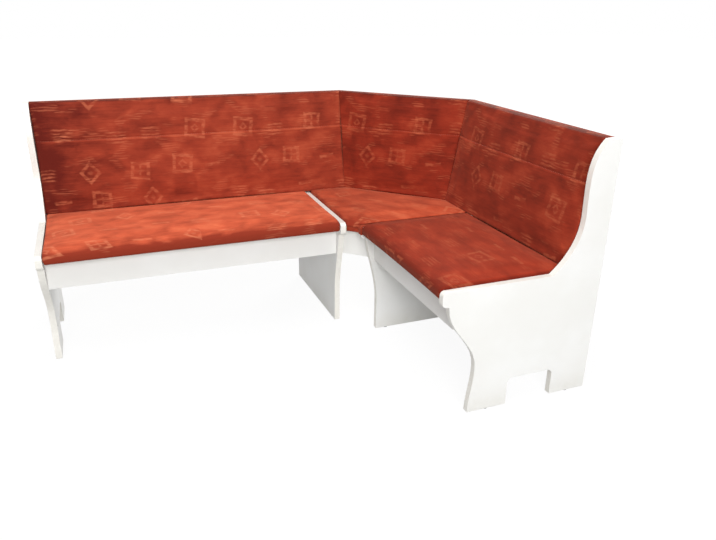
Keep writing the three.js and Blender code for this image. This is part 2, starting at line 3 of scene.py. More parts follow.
import logging
import math
from dataclasses import dataclass
from enum import Enum
from functools import partial
from typing import Callable, Dict, Optional, Sequence, Tuple, Union

import bmesh
import bpy
import numpy as np
from mathutils import Matrix, Vector


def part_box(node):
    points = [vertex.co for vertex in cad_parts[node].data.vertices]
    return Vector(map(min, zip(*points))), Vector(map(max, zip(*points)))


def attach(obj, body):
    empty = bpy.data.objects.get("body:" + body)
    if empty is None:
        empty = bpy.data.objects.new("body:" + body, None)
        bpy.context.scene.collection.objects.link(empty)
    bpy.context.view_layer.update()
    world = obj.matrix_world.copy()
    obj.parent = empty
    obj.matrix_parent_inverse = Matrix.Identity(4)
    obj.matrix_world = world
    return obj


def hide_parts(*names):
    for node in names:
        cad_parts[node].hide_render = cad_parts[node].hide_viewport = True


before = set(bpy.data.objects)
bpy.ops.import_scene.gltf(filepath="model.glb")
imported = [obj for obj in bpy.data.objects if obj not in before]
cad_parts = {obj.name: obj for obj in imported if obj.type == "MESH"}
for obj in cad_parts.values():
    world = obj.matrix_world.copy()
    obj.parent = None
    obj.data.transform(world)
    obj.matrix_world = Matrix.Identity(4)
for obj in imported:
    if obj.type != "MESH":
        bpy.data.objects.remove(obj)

LOG = logging.getLogger("corner_bench")
Triple = Tuple[float, float, float]
Colour = Triple
Pairs = Tuple[Tuple[float, float], ...]
Number = Union[float, "Field"]
Sockets = Dict[Union[int, str], object]
Row = Tuple[Vector, Vector]
UP = Vector((0, 0, 1))


class Wall(Enum):
    """The three runs of the bench, each with its way along the wall and its way to the room."""

    LONG = ((1.0, 0.0, 0.0), (0.0, -1.0, 0.0))
    SHORT = ((0.0, -1.0, 0.0), (-1.0, 0.0, 0.0))
    CORNER = ((0.70710678, -0.70710678, 0.0), (-0.70710678, -0.70710678, 0.0))

    @property
    def along(self) -> Vector:
        """Unit vector along the run."""
        return Vector(self.value[0])

    @property
    def room(self) -> Vector:
        """Unit vector from the wall to the room."""
        return Vector(self.value[1])


@dataclass(frozen=True)
class Lean:
    """How the upholstered backs lean, and where the corner one is mitred to the other two."""

    corner: Tuple[float, float] = (0.85, 0.64)
    seat_height: float = 0.455
    top_height: float = 0.862
    depth_at_seat: float = 0.125
    depth_at_top: float = 0.051
    mitre: float = 0.455
    gap: float = 0.0003
    long_end: float = 1.678
    short_end: float = 1.258

    def face(self, wall: Wall, height: Union[float, np.ndarray]) -> Union[float, np.ndarray]:
        """Distance of a back's face from the room corner, towards the room.

        Args:
            wall: The run that the back belongs to.
            height: Height, or several.

        Returns:
            The distance at each height.
        """
        rise = (height - self.seat_height) / (self.top_height - self.seat_height)
        depth = self.depth_at_seat + (self.depth_at_top - self.depth_at_seat) * rise
        return (self.mitre + depth) / math.sqrt(2) if wall is Wall.CORNER else depth

    def ends(self, wall: Wall, height: float, behind: float) -> Row:
        """The two ends of a back at one height.

        Args:
            wall: The run that the back belongs to.
            height: Height of both ends.
            behind: Distance of both behind the back's face.

        Returns:
            The ends, in the order of the run.
        """
        slope = math.tan(math.pi / 8)
        near = self.mitre + self.gap - behind * slope
        face = self.face(wall, height)
        half = math.sqrt(2) * self.mitre - face + behind * (1 - slope) / math.sqrt(2) - self.gap
        runs = {
            Wall.LONG: (self.gap - self.long_end, -near),
            Wall.SHORT: (near, self.short_end - self.gap),
            Wall.CORNER: (-half, half),
        }[wall]
        middle = Vector((*self.corner, height)) + wall.room * (face - behind)
        return tuple(middle + wall.along * run for run in runs)

    def depth(self, wall: Wall, places: np.ndarray) -> np.ndarray:
        """How far each place is from the room corner, towards the room."""
        return (places - np.array((*self.corner, 0.0))) @ np.array(wall.room)


LEAN = Lean()
CORNER_FLOOR = Vector((*LEAN.corner, 0.0))


def clipped(values: np.ndarray) -> np.ndarray:
    """Keeps values within 0 and 1."""
    return np.clip(values, 0, 1)


def eased(values: np.ndarray) -> np.ndarray:
    """Keeps values within 0 and 1, with a soft start and a soft end."""
    return clipped(values) ** 2 * (3 - 2 * clipped(values))


def standing(place: Vector, *axes: Vector) -> Matrix:
    """The matrix of something that stands at a place and looks along three axes."""
    return Matrix.Translation(place) @ Matrix(axes).transposed().to_4x4()


def linear(red: int, green: int, blue: int) -> Colour:
    """Turns a display colour of 0 to 255 into a linear one."""
    shares = (value / 255 for value in (red, green, blue))
    return tuple(s / 12.92 if s <= 0.04045 else ((s + 0.055) / 1.055) ** 2.4 for s in shares)


def add_node(tree: bpy.types.NodeTree, kind: str, inputs: Sockets, **settings: object) -> bpy.types.Node:
    """Adds a shader node.

    Args:
        tree: The tree that it goes into.
        kind: The node's type after ShaderNode.
        inputs: Values, or fields to link, by the input's name or number.
        settings: Values of the node's own settings.

    Returns:
        The node.
    """
    node = tree.nodes.new(f"ShaderNode{kind}")
    for name, value in settings.items():
        setattr(node, name, value)
    for slot, value in inputs.items():
        if isinstance(value, Field):
            tree.links.new(value.socket, node.inputs[slot])
        else:
            node.inputs[slot].default_value = value
    return node


class Field:
    """A value that varies over a surface, on which arithmetic adds nodes."""

    def __init__(self, tree: bpy.types.NodeTree, socket: bpy.types.NodeSocket) -> None:
        """Wraps an output socket of the tree."""
        self.tree = tree
        self.socket = socket

    def node(self, output: Union[int, str], kind: str, inputs: Sockets, **settings: object) -> "Field":
        """Adds a node to the same tree and takes up one of its outputs."""
        return Field(self.tree, add_node(self.tree, kind, inputs, **settings).outputs[output])

    def math(self, operation: str, *others: Number) -> "Field":
        """Adds a Math node, whose first operand is this field."""
        return self.node(0, "Math", dict(enumerate((self, *others))), operation=operation)

    def clamped(self) -> "Field":
        """The value, kept within 0 and 1."""
        return self.node(0, "Clamp", {0: self})

    def __add__(self, other: Number) -> "Field":
        """Sum."""
        return self.math("ADD", other)

    def __sub__(self, other: Number) -> "Field":
        """Difference."""
        return self.math("SUBTRACT", other)

    def __mul__(self, other: Number) -> "Field":
        """Product."""
        return self.math("MULTIPLY", other)

    def __abs__(self) -> "Field":
        """Size without its sign."""
        return self.math("ABSOLUTE")

    def within(self, low: Number, high: Number) -> "Field":
        """1 from low to high and 0 elsewhere."""
        return self.math("GREATER_THAN", low) * self.math("LESS_THAN", high)

    def fade(self, start: float, end: float) -> "Field":
        """Falls smoothly from 1 at start to 0 at end, or rises from 0 where end is the smaller.

        Args:
            start: Value at which the result is 1.
            end: Value at which the result is 0.

        Returns:
            The softened step.
        """
        rising = float(start > end)
        return self.node("Result", "MapRange", {
            "Value": self, "From Min": min(start, end), "From Max": max(start, end),
            "To Min": 1 - rising, "To Max": rising,
        }, interpolation_type="SMOOTHSTEP")

    def line(self, at: float, half_width: float) -> "Field":
        """A soft line where the value is about the given one."""
        return abs(self - at).fade(half_width * 0.35, half_width)


class Surface:
    """The node tree of one material around its Principled shader."""

    def __init__(self, name: str, roughness: float) -> None:
        """Starts a material.

        Args:
            name: Its name.
            roughness: Its plain roughness.
        """
        self.material = bpy.data.materials.new(name)
        self.material.use_nodes = True
        self.tree = self.material.node_tree
        self.shader = self.tree.nodes["Principled BSDF"]
        self.shader.inputs["Roughness"].default_value = roughness

    def set(self, **values: float) -> None:
        """Sets sockets of the shader, named with underscores for spaces."""
        for name, value in values.items():
            self.shader.inputs[name.replace("_", " ")].default_value = value

    def node(self, output: Union[int, str], kind: str, inputs: Sockets, **settings: object) -> Field:
        """Adds a node and takes up one of its outputs."""
        return Field(self.tree, add_node(self.tree, kind, inputs, **settings).outputs[output])

    def link(self, name: str, value: Field) -> None:
        """Links a field to an input of the shader."""
        self.tree.links.new(value.socket, self.shader.inputs[name])

    def place(self, scale: Sequence[float] = (1, 1, 1), layer: Optional[str] = None) -> Field:
        """Coordinates for a pattern, in metres times the scale.

        Args:
            scale: Scale along each axis.
            layer: UV map to read, or none for Object coordinates.

        Returns:
            The scaled coordinates.
        """
        if layer:
            source = self.node("UV", "UVMap", {}, uv_map=layer)
        else:
            source = self.node("Object", "TexCoord", {})
        return self.node("Vector", "Mapping", {"Scale": scale, "Vector": source})

    def split(self, vector: Field) -> Tuple[Field, Field, Field]:
        """The three components of a vector."""
        node = add_node(self.tree, "SeparateXYZ", {0: vector})
        return tuple(Field(self.tree, output) for output in node.outputs)

    def noise(self, vector: Field, scale: float, detail: float = 2, twist: float = 0) -> Field:
        """Smooth noise from 0 to 1, by its waves per unit, its finer layers and its distortion."""
        inputs = {"Scale": scale, "Detail": detail, "Distortion": twist, "Vector": vector}
        return self.node("Fac", "TexNoise", inputs)

    def flakes(self, feature: str = "F1", distance: str = "EUCLIDEAN", **inputs: Number) -> Field:
        """One random number for each flake of a pattern, by how it measures distance and by its inputs."""
        colours = self.node("Color", "TexVoronoi", inputs, feature=feature, distance=distance)
        return self.split(colours)[0]

    def mix(self, share: Field, low: Union[Colour, Field], high: Colour) -> Field:
        """A colour between two others, low where the share is 0 and high where it is 1."""
        low = low if isinstance(low, Field) else (*low, 1)
        return self.node(2, "Mix", {0: share, 6: low, 7: (*high, 1)}, data_type="RGBA")

    def colour(self, share: Field, low: Union[Colour, Field], high: Colour) -> None:
        """Gives the shader a colour between two others, by a share."""
        self.link("Base Color", self.mix(share, low, high))

    def relief(self, height: Field, depth: float, strength: float) -> None:
        """Gives the shader a bump of some metres in depth, felt to the given share."""
        inputs = {"Strength": strength, "Distance": depth, "Height": height}
        self.link("Normal", self.node("Normal", "Bump", inputs))


class Finish:
    """A finish makes its material once and hands out the same one after that."""

    name: str
    _made = {}

    def surface(self, roughness: float) -> Surface:
        """Starts the material, with a plain roughness."""
        Finish._made[self] = Surface(self.name, roughness)
        return Finish._made[self]

    def material(self) -> bpy.types.Material:
        """The finish's material, made at its first use."""
        if self not in Finish._made:
            self.build()
        return Finish._made[self].material

    def build(self) -> None:
        """Makes the material."""
        raise NotImplementedError


@dataclass(frozen=True)
class Laminate(Finish):
    """White melamine face with a faint orange peel, a soft mottle and a little grime by the floor."""

    name: str = "white_laminate"
    face: Colour = linear(243, 243, 241)
    worn: Colour = linear(228, 226, 219)
    grime_height: float = 0.09

    def build(self) -> None:
        """Makes the material."""
        surface = self.surface(0.38)
        place = surface.place()
        cloud = surface.noise(place, 5, 4)
        smear = surface.noise(place, 28, 5, 0.6)
        grime = surface.split(place)[2].fade(0.0, self.grime_height) * smear * 0.7
        share = (cloud.fade(0.35, 0.75) * 0.35 + grime).clamped()
        surface.colour(share, self.face, self.worn)
        surface.link("Roughness", smear * 0.16 + 0.30)
        surface.relief(surface.noise(place, 900, 2), 0.00005, 0.5)


@dataclass(frozen=True)
class EdgeBand(Finish):
    """Ironed-on edge strip, a touch creamier and glossier than the board's face."""

    name: str = "edge_band"
    clean: Colour = linear(243, 241, 234)
    rubbed: Colour = linear(234, 231, 223)

    def build(self) -> None:
        """Makes the material."""
        surface = self.surface(0.3)
        place = surface.place()
        rub = surface.noise(place, 40, 5, 0.8)
        surface.colour(rub.fade(0.45, 0.70) * 0.6, self.clean, self.rubbed)
        surface.link("Roughness", rub * 0.2 + 0.22)
        surface.relief(surface.noise(place, 500, 3), 0.00006, 0.5)


@dataclass(frozen=True)
class ChipBoard(Finish):
    """Raw flake board with pressed chips of several browns."""

    name: str = "pale_board"
    light: Colour = linear(214, 188, 148)
    dark: Colour = linear(164, 128, 88)
    flake_density: float = 150

    def build(self) -> None:
        """Makes the material."""
        surface = self.surface(0.75)
        place = surface.place((1, 1, 2.4))
        edge = surface.node("Distance", "TexVoronoi", {"Scale": self.flake_density, "Vector": place})
        shade, coarse = (surface.flakes(Scale=self.flake_density * size, Vector=place) for size in (1, 0.4))
        share = shade * 0.6 + coarse * 0.3 + surface.noise(place, 18, 3) * 0.2
        surface.colour(share, self.light, self.dark)
        surface.relief(shade * 0.6 + edge * 0.4, 0.00025, 0.6)


@dataclass(frozen=True)
class Beech(Finish):
    """Planed beech with long grain along one axis and short dark flecks."""

    name: str = "beech"
    grain: Triple = (1.0, 1.0, 0.06)
    light: Colour = linear(216, 178, 132)
    dark: Colour = linear(184, 138, 92)

    def build(self) -> None:
        """Makes the material."""
        surface = self.surface(0.55)
        place = surface.place(self.grain)
        bands = surface.noise(place, 70, 4, 0.9)
        flecks = surface.noise(place, 620, 2).fade(0.36, 0.30) * 0.5
        share = ((bands.fade(0.3, 0.7) + flecks) * 0.8).clamped()
        surface.colour(share, self.light, self.dark)
        surface.link("Roughness", bands * 0.2 + 0.45)
        surface.relief(bands * 0.7 + flecks, 0.00015, 0.5)


@dataclass(frozen=True)
class Zinc(Finish):
    """Bright zinc plate with a faint spangle and dull rubbed spots."""

    name: str = "zinc_steel"
    bright: Colour = linear(190, 194, 198)
    dull: Colour = linear(150, 152, 152)

    def build(self) -> None:
        """Makes the material."""
        surface = self.surface(0.35)
        surface.set(Metallic=0.9)
        place = surface.place()
        shade = surface.flakes(Scale=220, Vector=place)
        cloud = surface.noise(place, 60, 4, 0.5)
        surface.colour(shade * 0.4 + cloud * 0.5, self.bright, self.dull)
        surface.link("Roughness", cloud * 0.3 + 0.2)
        surface.relief(surface.noise(place, 700, 2), 0.00004, 0.5)


@dataclass(frozen=True)
class Nylon(Finish):
    """Moulded grey nylon with a matt skin."""

    name: str = "grey_nylon"
    clean: Colour = linear(146, 148, 151)
    worn: Colour = linear(116, 117, 118)

    def build(self) -> None:
        """Makes the material."""
        surface = self.surface(0.5)
        place = surface.place()
        cloud = surface.noise(place, 90, 4)
        surface.colour(cloud, self.clean, self.worn)
        surface.link("Roughness", cloud * 0.2 + 0.4)
        surface.relief(surface.noise(place, 1400, 2), 0.00005, 0.6)


@dataclass(frozen=True)
class Thread(Finish):
    """Twisted sewing thread."""

    name: str = "seam_thread"
    light: Colour = linear(196, 104, 74)
    dark: Colour = linear(120, 46, 30)

    def build(self) -> None:
        """Makes the material."""
        surface = self.surface(0.6)
        twist = surface.noise(surface.place(), 900, 2, 1.5)
        surface.colour(twist, self.dark, self.light)
        surface.set(Sheen_Weight=0.2)
        surface.relief(twist, 0.0002, 0.7)


@dataclass(frozen=True)
class Velour(Finish):
    """Cut-pile velour: slubs along the weft, a crushed mottle and sketched motifs woven in, with painted
    light and shade read from the mesh.
    """

    name: str
    deep: Colour
    body: Colour
    bright: Colour
    motif: Colour
    motif_strength: float = 0.50
    hatch_strength: float = 0.34
    patch_depth: float = 0.55
    # How far the mesh's painted light and shade moves the velour's colour.
    painted_light_depth: float = 0.9
    cell_width: float = 0.165
    cell_height: float = 0.135
    weft: str = "weft"

    def woven(self, surface: Surface, along: float, across: float, *noise: float) -> Field:
        """Noise on the cloth's own map, drawn out by two scales: along the weft and across it."""
        return surface.noise(surface.place((along, across, 1), self.weft), *noise)

    def motifs(self, surface: Surface) -> Field:
        """Sketched frames, lozenges, combs and dashes, one to a cell of a staggered grid.

        Args:
            surface: The material that they are woven into.

        Returns:
            How much of the motif shows, from 0 to 1.
        """
        across, up, _ = surface.split(surface.place(layer=self.weft))
        shaky, shakier = self.woven(surface, 1, 1, 34, 2), self.woven(surface, 1, -1, 41, 2)
        row_place = up * (1 / self.cell_height)
        row = row_place.math("FLOOR")
        column_place = across * (1 / self.cell_width) + row * 0.37
        column = column_place.math("FLOOR")
        cell = {"Vector": surface.node(0, "CombineXYZ", {0: column, 1: row})}
        pick, dice = (
            surface.node(name, "TexWhiteNoise", cell, noise_dimensions="2D") for name in ("Value", "Color"))
        turn, side, rise = surface.split(dice)
        x = (column_place - column - 0.5) * self.cell_width - (side - 0.5) * (self.cell_width - 0.105)
        y = (row_place - row - 0.5) * self.cell_height - (rise - 0.5) * (self.cell_height - 0.095)
        lean = (turn - 0.5) * 0.3
        wobble_x = x + y * lean + (shaky - 0.5) * 0.011
        wobble_y = y - x * lean + (shakier - 0.5) * 0.009
        flat, tall = abs(wobble_x), abs(wobble_y)

        box = flat.math("MAXIMUM", tall * 1.08)
        frame_lines = box.line(0.034, 0.0098) + (flat + tall).line(0.013, 0.0075) * 0.8
        pane_bars = flat.fade(0.0015, 0.0065).math("MAXIMUM", tall.fade(0.0015, 0.0065))
        window_lines = box.line(0.030, 0.0092) + pane_bars * box.fade(0.020, 0.027) * 0.7
        lozenge = flat + tall * 0.86
        lozenge_lines = lozenge.line(0.0325, 0.0108) + lozenge.fade(0.007, 0.014) * 0.5
        strokes = (wobble_y * 80).math("PINGPONG", 0.5).fade(0.34, 0.10) * tall.fade(0.021, 0.025)
        comb_lines = strokes * flat.fade(0.022, 0.046)
        dash = tall.fade(0.0030, 0.0095) * flat.fade(0.026, 0.036) * 1.2

        shown = frame_lines * pick.within(-1, 0.15) + window_lines * pick.within(0.15, 0.27)
        shown = shown + lozenge_lines * pick.within(0.27, 0.42)
        shown = shown + comb_lines * pick.within(0.42, 0.62) + dash * pick.within(0.62, 0.92)
        worn = self.woven(surface, 1, 3.0, 26, 2).fade(0.62, 0.40) * 0.8
        return (shown * (worn * -1 + 1)).math("MINIMUM", 1.0)

    def hatching(self, surface: Surface) -> Field:
        """Loose bundles of fine pale strokes along the weft, between the motifs.

        Args:
            surface: The material that they are woven into.

        Returns:
            How much of the strokes shows, from 0 to 1.
        """
        up = surface.split(surface.place(layer=self.weft))[1]
        sway = self.woven(surface, 1, 1.4, 9, 1)
        rows = (up * 112 + sway * 2.2).math("PINGPONG", 0.5).fade(0.32, 0.08)
        bundles = self.woven(surface, 0.8, 1.5, 13, 1).fade(0.63, 0.56)
        breaks = self.woven(surface, 1, 22, 15, 1).fade(0.54, 0.44)
        return rows * bundles * breaks

    def build(self) -> None:
        """Makes the material."""
        surface = self.surface(0.85)
        surface.set(Sheen_Weight=0.10, Sheen_Roughness=0.5, Specular_IOR_Level=0.1)
        surface.shader.inputs["Sheen Tint"].default_value = (1.0, 0.62, 0.42, 1)
        long_slubs = self.woven(surface, 1, 16, 9, 4)
        fine_slubs = self.woven(surface, 1, 9, 52, 3)
        crush = self.woven(surface, 1, 1.7, 11, 4, 0.4)
        pile = self.woven(surface, 1, 1, 950, 1)
        # The mesh's painted light attribute paints light and shade into the colour: painted shade below 1,
        # painted highlight above 1.
        painted_light = surface.node("Fac", "Attribute", {}, attribute_name="painted_light")
        coarse = surface.place((1, 1.25, 0), self.weft)
        patch = surface.flakes("SMOOTH_F1", "CHEBYCHEV", Scale=10, Smoothness=0.35, Vector=coarse)
        share = (long_slubs - 0.5) * 0.7 + (fine_slubs - 0.5) * 0.5 + (crush - 0.5) * 1.9 + (pile - 0.5) * 0.3
        share = share + (patch - 0.5) * self.patch_depth + (painted_light - 1.0) * self.painted_light_depth
        lower = (share + 1.0).clamped()
        upper = (share * 1.5).clamped()
        ground = surface.mix(upper, surface.mix(lower, self.deep, self.body), self.bright)
        motif = self.motifs(surface)
        figure = motif * self.motif_strength + self.hatching(surface) * self.hatch_strength
        surface.colour(figure * (fine_slubs * 0.8 + 0.6), ground, self.motif)
        surface.link("Roughness", fine_slubs * 0.15 + 0.75)
        surface.relief(fine_slubs * 0.45 + pile * 0.35 + motif * 0.35, 0.0006, 0.7)


@dataclass(frozen=True)
class Underside(Finish):
    """Plain woven back of the velour, seen where it is turned under."""

    name: str = "velour_back"
    light: Colour = linear(176, 92, 66)
    dark: Colour = linear(118, 52, 36)

    def build(self) -> None:
        """Makes the material."""
        surface = self.surface(0.9)
        place = surface.place()
        threads = surface.noise(place, 800, 2)
        share = threads * 0.7 + surface.noise(place, 35, 3) * 0.4
        surface.colour(share, self.light, self.dark)
        surface.relief(threads, 0.0002, 0.7)


class Mesh:
    """Operators on one piece, used as by hand."""

    def __init__(self, piece: bpy.types.Object) -> None:
        """Takes up a piece and leaves it alone selected."""
        self.piece = piece
        self.take()

    @classmethod
    def of_node(cls, node: str) -> "Mesh":
        """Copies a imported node, with its loose triangles merged.

        Args:
            node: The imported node.

        Returns:
            The copy, ready to be worked on.
        """
        piece = bpy.data.objects.new(node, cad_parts[node].data.copy())
        bpy.context.scene.collection.objects.link(piece)
        piece.data.materials.clear()
        mesh = cls(piece)
        bpy.ops.mesh.customdata_custom_splitnormals_clear()
        mesh.edit(partial(bpy.ops.mesh.remove_doubles, threshold=0.00001))
        return mesh

    @classmethod
    def primitive(cls, add: Callable[..., object], **settings: object) -> "Mesh":
        """Adds one of Blender's basic shapes.

        Args:
            add: The operator that adds it.
            settings: Options of the operator.

        Returns:
            The shape, ready to be worked on.
        """
        bpy.ops.object.select_all(action="DESELECT")
        add(location=(0, 0, 0), **settings)
        return cls(bpy.context.active_object)

    @classmethod
    def plane(cls, corners: Sequence[Sequence[float]]) -> "Mesh":
        """Adds a face with four corners.

        Args:
            corners: The corners, row by row.

        Returns:
            The face, ready to be worked on.
        """
        mesh = cls.primitive(bpy.ops.mesh.primitive_plane_add, size=0.01)
        mesh.reshape(np.array(corners, float))
        return mesh

    @classmethod
    def strip(cls, name: str, rows: Sequence[Row], wall: Wall, cover: Velour, cloth: float, painted_light: float,
              is_back: bool = True) -> None:
        """Extrudes a strip of velour from row to row, and fixes it to the frame.

        Args:
            name: Name of the new piece.
            rows: The two ends of each row, from the bottom up.
            wall: The run whose way the weft follows.
            cover: The velour.
            cloth: Its thickness, behind its face.
            painted_light: How light or dark the velour is painted, standing in for light and shade.
            is_back: True on a back, false on a seat.
        """
        mesh = cls.plane((*rows[0], *rows[1]))
        last = rows[1]
        for row in rows[2:]:
            mesh.edit(bpy.ops.mesh.extrude_edges_move, choose=lambda place: min(
                (place - last[0]).length, (place - last[1]).length) < 1e-6)
            for vertex in mesh.piece.data.vertices[-2:]:
                nearer = (vertex.co - last[0]).length < (vertex.co - last[1]).length
                vertex.co = row[0] if nearer else row[1]
            last = row
        mesh.modify("SOLIDIFY", thickness=cloth, offset=-1)
        mesh.lay_weft(cover.weft, wall, is_back)
        mesh.brush(painted_light)
        mesh.dress(name, cover, "back_velour" if is_back else "seat_velour", 50)
        mesh.seat("frame")

    def repeated(self, places: Sequence[Matrix]) -> "Mesh":
        """Copies this small model to many places, joins the copies and removes the model.

        Args:
            places: Where each copy goes.

        Returns:
            The joined piece.
        """
        copies = []
        for place in places:
            copy = bpy.data.objects.new("copy", self.piece.data.copy())
            bpy.context.scene.collection.objects.link(copy)
            copy.data.transform(place)
            copies.append(copy)
        bpy.data.objects.remove(self.piece)
        bpy.ops.object.select_all(action="DESELECT")
        for copy in copies:
            copy.select_set(True)
        bpy.context.view_layer.objects.active = copies[0]
        bpy.ops.object.join()
        return Mesh(bpy.context.active_object)

    def take(self) -> None:
        """Selects this piece alone and makes it the active one."""
        bpy.ops.object.select_all(action="DESELECT")
        self.piece.select_set(True)
        bpy.context.view_layer.objects.active = self.piece

    def edit(self, *steps: Callable[[], object], choose: Optional[Callable[[Vector], bool]] = None) -> None:
        """Runs edit-mode steps on all of the mesh, or on chosen vertices.

        Args:
            steps: The operators, in order.
            choose: Tells from a vertex's place whether it is selected.
        """
        self.take()
        bpy.ops.object.mode_set(mode="EDIT")
        bpy.ops.mesh.select_mode(type="VERT")
        bpy.ops.mesh.select_all(action="DESELECT" if choose else "SELECT")
        if choose:
            shape = bmesh.from_edit_mesh(self.piece.data)
            for vertex in shape.verts:
                vertex.select_set(choose(vertex.co))
            shape.select_flush(True)
            bmesh.update_edit_mesh(self.piece.data)
        for step in steps:
            step()
        bpy.ops.object.mode_set(mode="OBJECT")

    def modify(self, kind: str, **settings: object) -> None:
        """Adds a modifier and applies it.

        Args:
            kind: Its type.
            settings: Its settings.
        """
        modifier = self.piece.modifiers.new(kind.lower(), kind)
        for name, value in settings.items():
            setattr(modifier, name, value)
        self.take()
        bpy.ops.object.modifier_apply(modifier=modifier.name)

    @staticmethod
    def vectors(source: bpy.types.bpy_prop_collection, name: str) -> np.ndarray:
        """Reads one vector of each element.

        Args:
            source: The elements.
            name: What the vector is called.

        Returns:
            The vectors, one row each.
        """
        values = np.zeros(len(source) * 3, np.float32)
        source.foreach_get(name, values)
        return values.reshape(-1, 3).astype(float)

    def points(self) -> np.ndarray:
        """Places of the vertices, one row each."""
        return self.vectors(self.piece.data.vertices, "co")

    def normals(self) -> np.ndarray:
        """Normals of the vertices, one row each."""
        return self.vectors(self.piece.data.vertex_normals, "vector")

    def reshape(self, places: np.ndarray) -> None:
        """Moves the vertices to the given places."""
        self.piece.data.vertices.foreach_set("co", places.ravel())
        self.piece.data.update()

    def group(self, name: str, chosen: np.ndarray) -> bpy.types.VertexGroup:
        """Adds a vertex group.

        Args:
            name: Its name.
            chosen: True for each vertex in it.

        Returns:
            The group.
        """
        group = self.piece.vertex_groups.new(name=name)
        group.add([int(i) for i in np.flatnonzero(chosen)], 1.0, "REPLACE")
        return group

    def lay_weft(self, layer: str, wall: Wall, is_back: bool) -> None:
        """Gives the cloth its own map, in metres, that runs over the edges without a stretch.

        Args:
            layer: Name of the map.
            wall: The run whose way the weft follows.
            is_back: True on a back, false on a seat.
        """
        places = self.points()
        along = places @ np.array(wall.along)
        if is_back:
            behind = LEAN.face(wall, places[:, 2]) - LEAN.depth(wall, places)
            first, second = along, places[:, 2] + np.maximum(0, behind)
        else:
            drop = places[:, 2].max() - places[:, 2]
            first = along + drop * np.sign(along - along.mean())
            second = places @ np.array(wall.room) + drop
        cloth = self.piece.data.uv_layers.new(name=layer)
        corners = np.zeros(len(self.piece.data.loops), np.int64)
        self.piece.data.loops.foreach_get("vertex_index", corners)
        cloth.data.foreach_set("uv", np.stack([first[corners], second[corners]], axis=1).ravel())

    def brush(self, painted_light: Union[float, np.ndarray]) -> None:
        """Stores painted light and shade for the velour at each point, or the same all over."""
        layer = self.piece.data.attributes.new("painted_light", "FLOAT", "POINT")
        layer.data.foreach_set("value", np.full(len(self.piece.data.vertices), painted_light, np.float32))

    def dress(self, name: str, finish: Finish, slot: str, degrees: float) -> None:
        """Names the piece, shades it and gives it its material.

        Args:
            name: Its name.
            finish: What its material comes from.
            slot: Not used.
            degrees: Angle under which edges are shaded smooth.
        """
        self.piece.name = self.piece.data.name = name
        self.take()
        bpy.ops.object.shade_smooth_by_angle(angle=math.radians(degrees))
        self.piece.data.materials.append(finish.material())

    def seat(self, body: str, *nodes: str) -> None:
        """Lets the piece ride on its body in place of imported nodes.

        Args:
            body: Body that it moves with.
            nodes: The nodes that it stands for, if any.
        """
        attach(self.piece, body)
        if nodes:
            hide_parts(*nodes)
        LOG.info("%s on %s, %d faces", self.piece.name, body, len(self.piece.data.polygons))


@dataclass
class Board:
    """A rigid board taken from the frame, with its arrises eased."""

    node: str
    finish: Finish
    slot: str
    body: str = "frame"
    arris: float = 0.0008
    edge_finish: Optional[Finish] = None
    flat_angle: float = math.radians(0.3)
    edge_angle: float = math.radians(35)

    def build(self) -> None:
        """Copies the node, eases its edges and finishes its faces and its edge strips."""
        mesh = Mesh.of_node(self.node)
        mesh.edit(partial(bpy.ops.mesh.dissolve_limited, angle_limit=self.flat_angle))
        mesh.modify("BEVEL", width=self.arris, segments=2, limit_method="ANGLE", angle_limit=self.edge_angle)
        mesh.dress(f"{self.node}_finished", self.finish, self.slot, 38)
        mesh.modify("WEIGHTED_NORMAL", weight=100, keep_sharp=True)
        if self.edge_finish:
            low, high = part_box(self.node)
            thin = min(range(3), key=lambda axis: high[axis] - low[axis])
            mesh.piece.data.materials.append(self.edge_finish.material())
            for face in mesh.piece.data.polygons:
                face.material_index = int(abs(face.normal[thin]) < 0.5)
        mesh.seat(self.body, self.node)

    @classmethod
    def build_all(cls, nodes: Sequence[str], finish: Finish, slot: str, **settings: object) -> None:
        """Builds a board for each of several nodes, all with the same settings."""
        for node in nodes:
            cls(node, finish, slot, **settings).build()


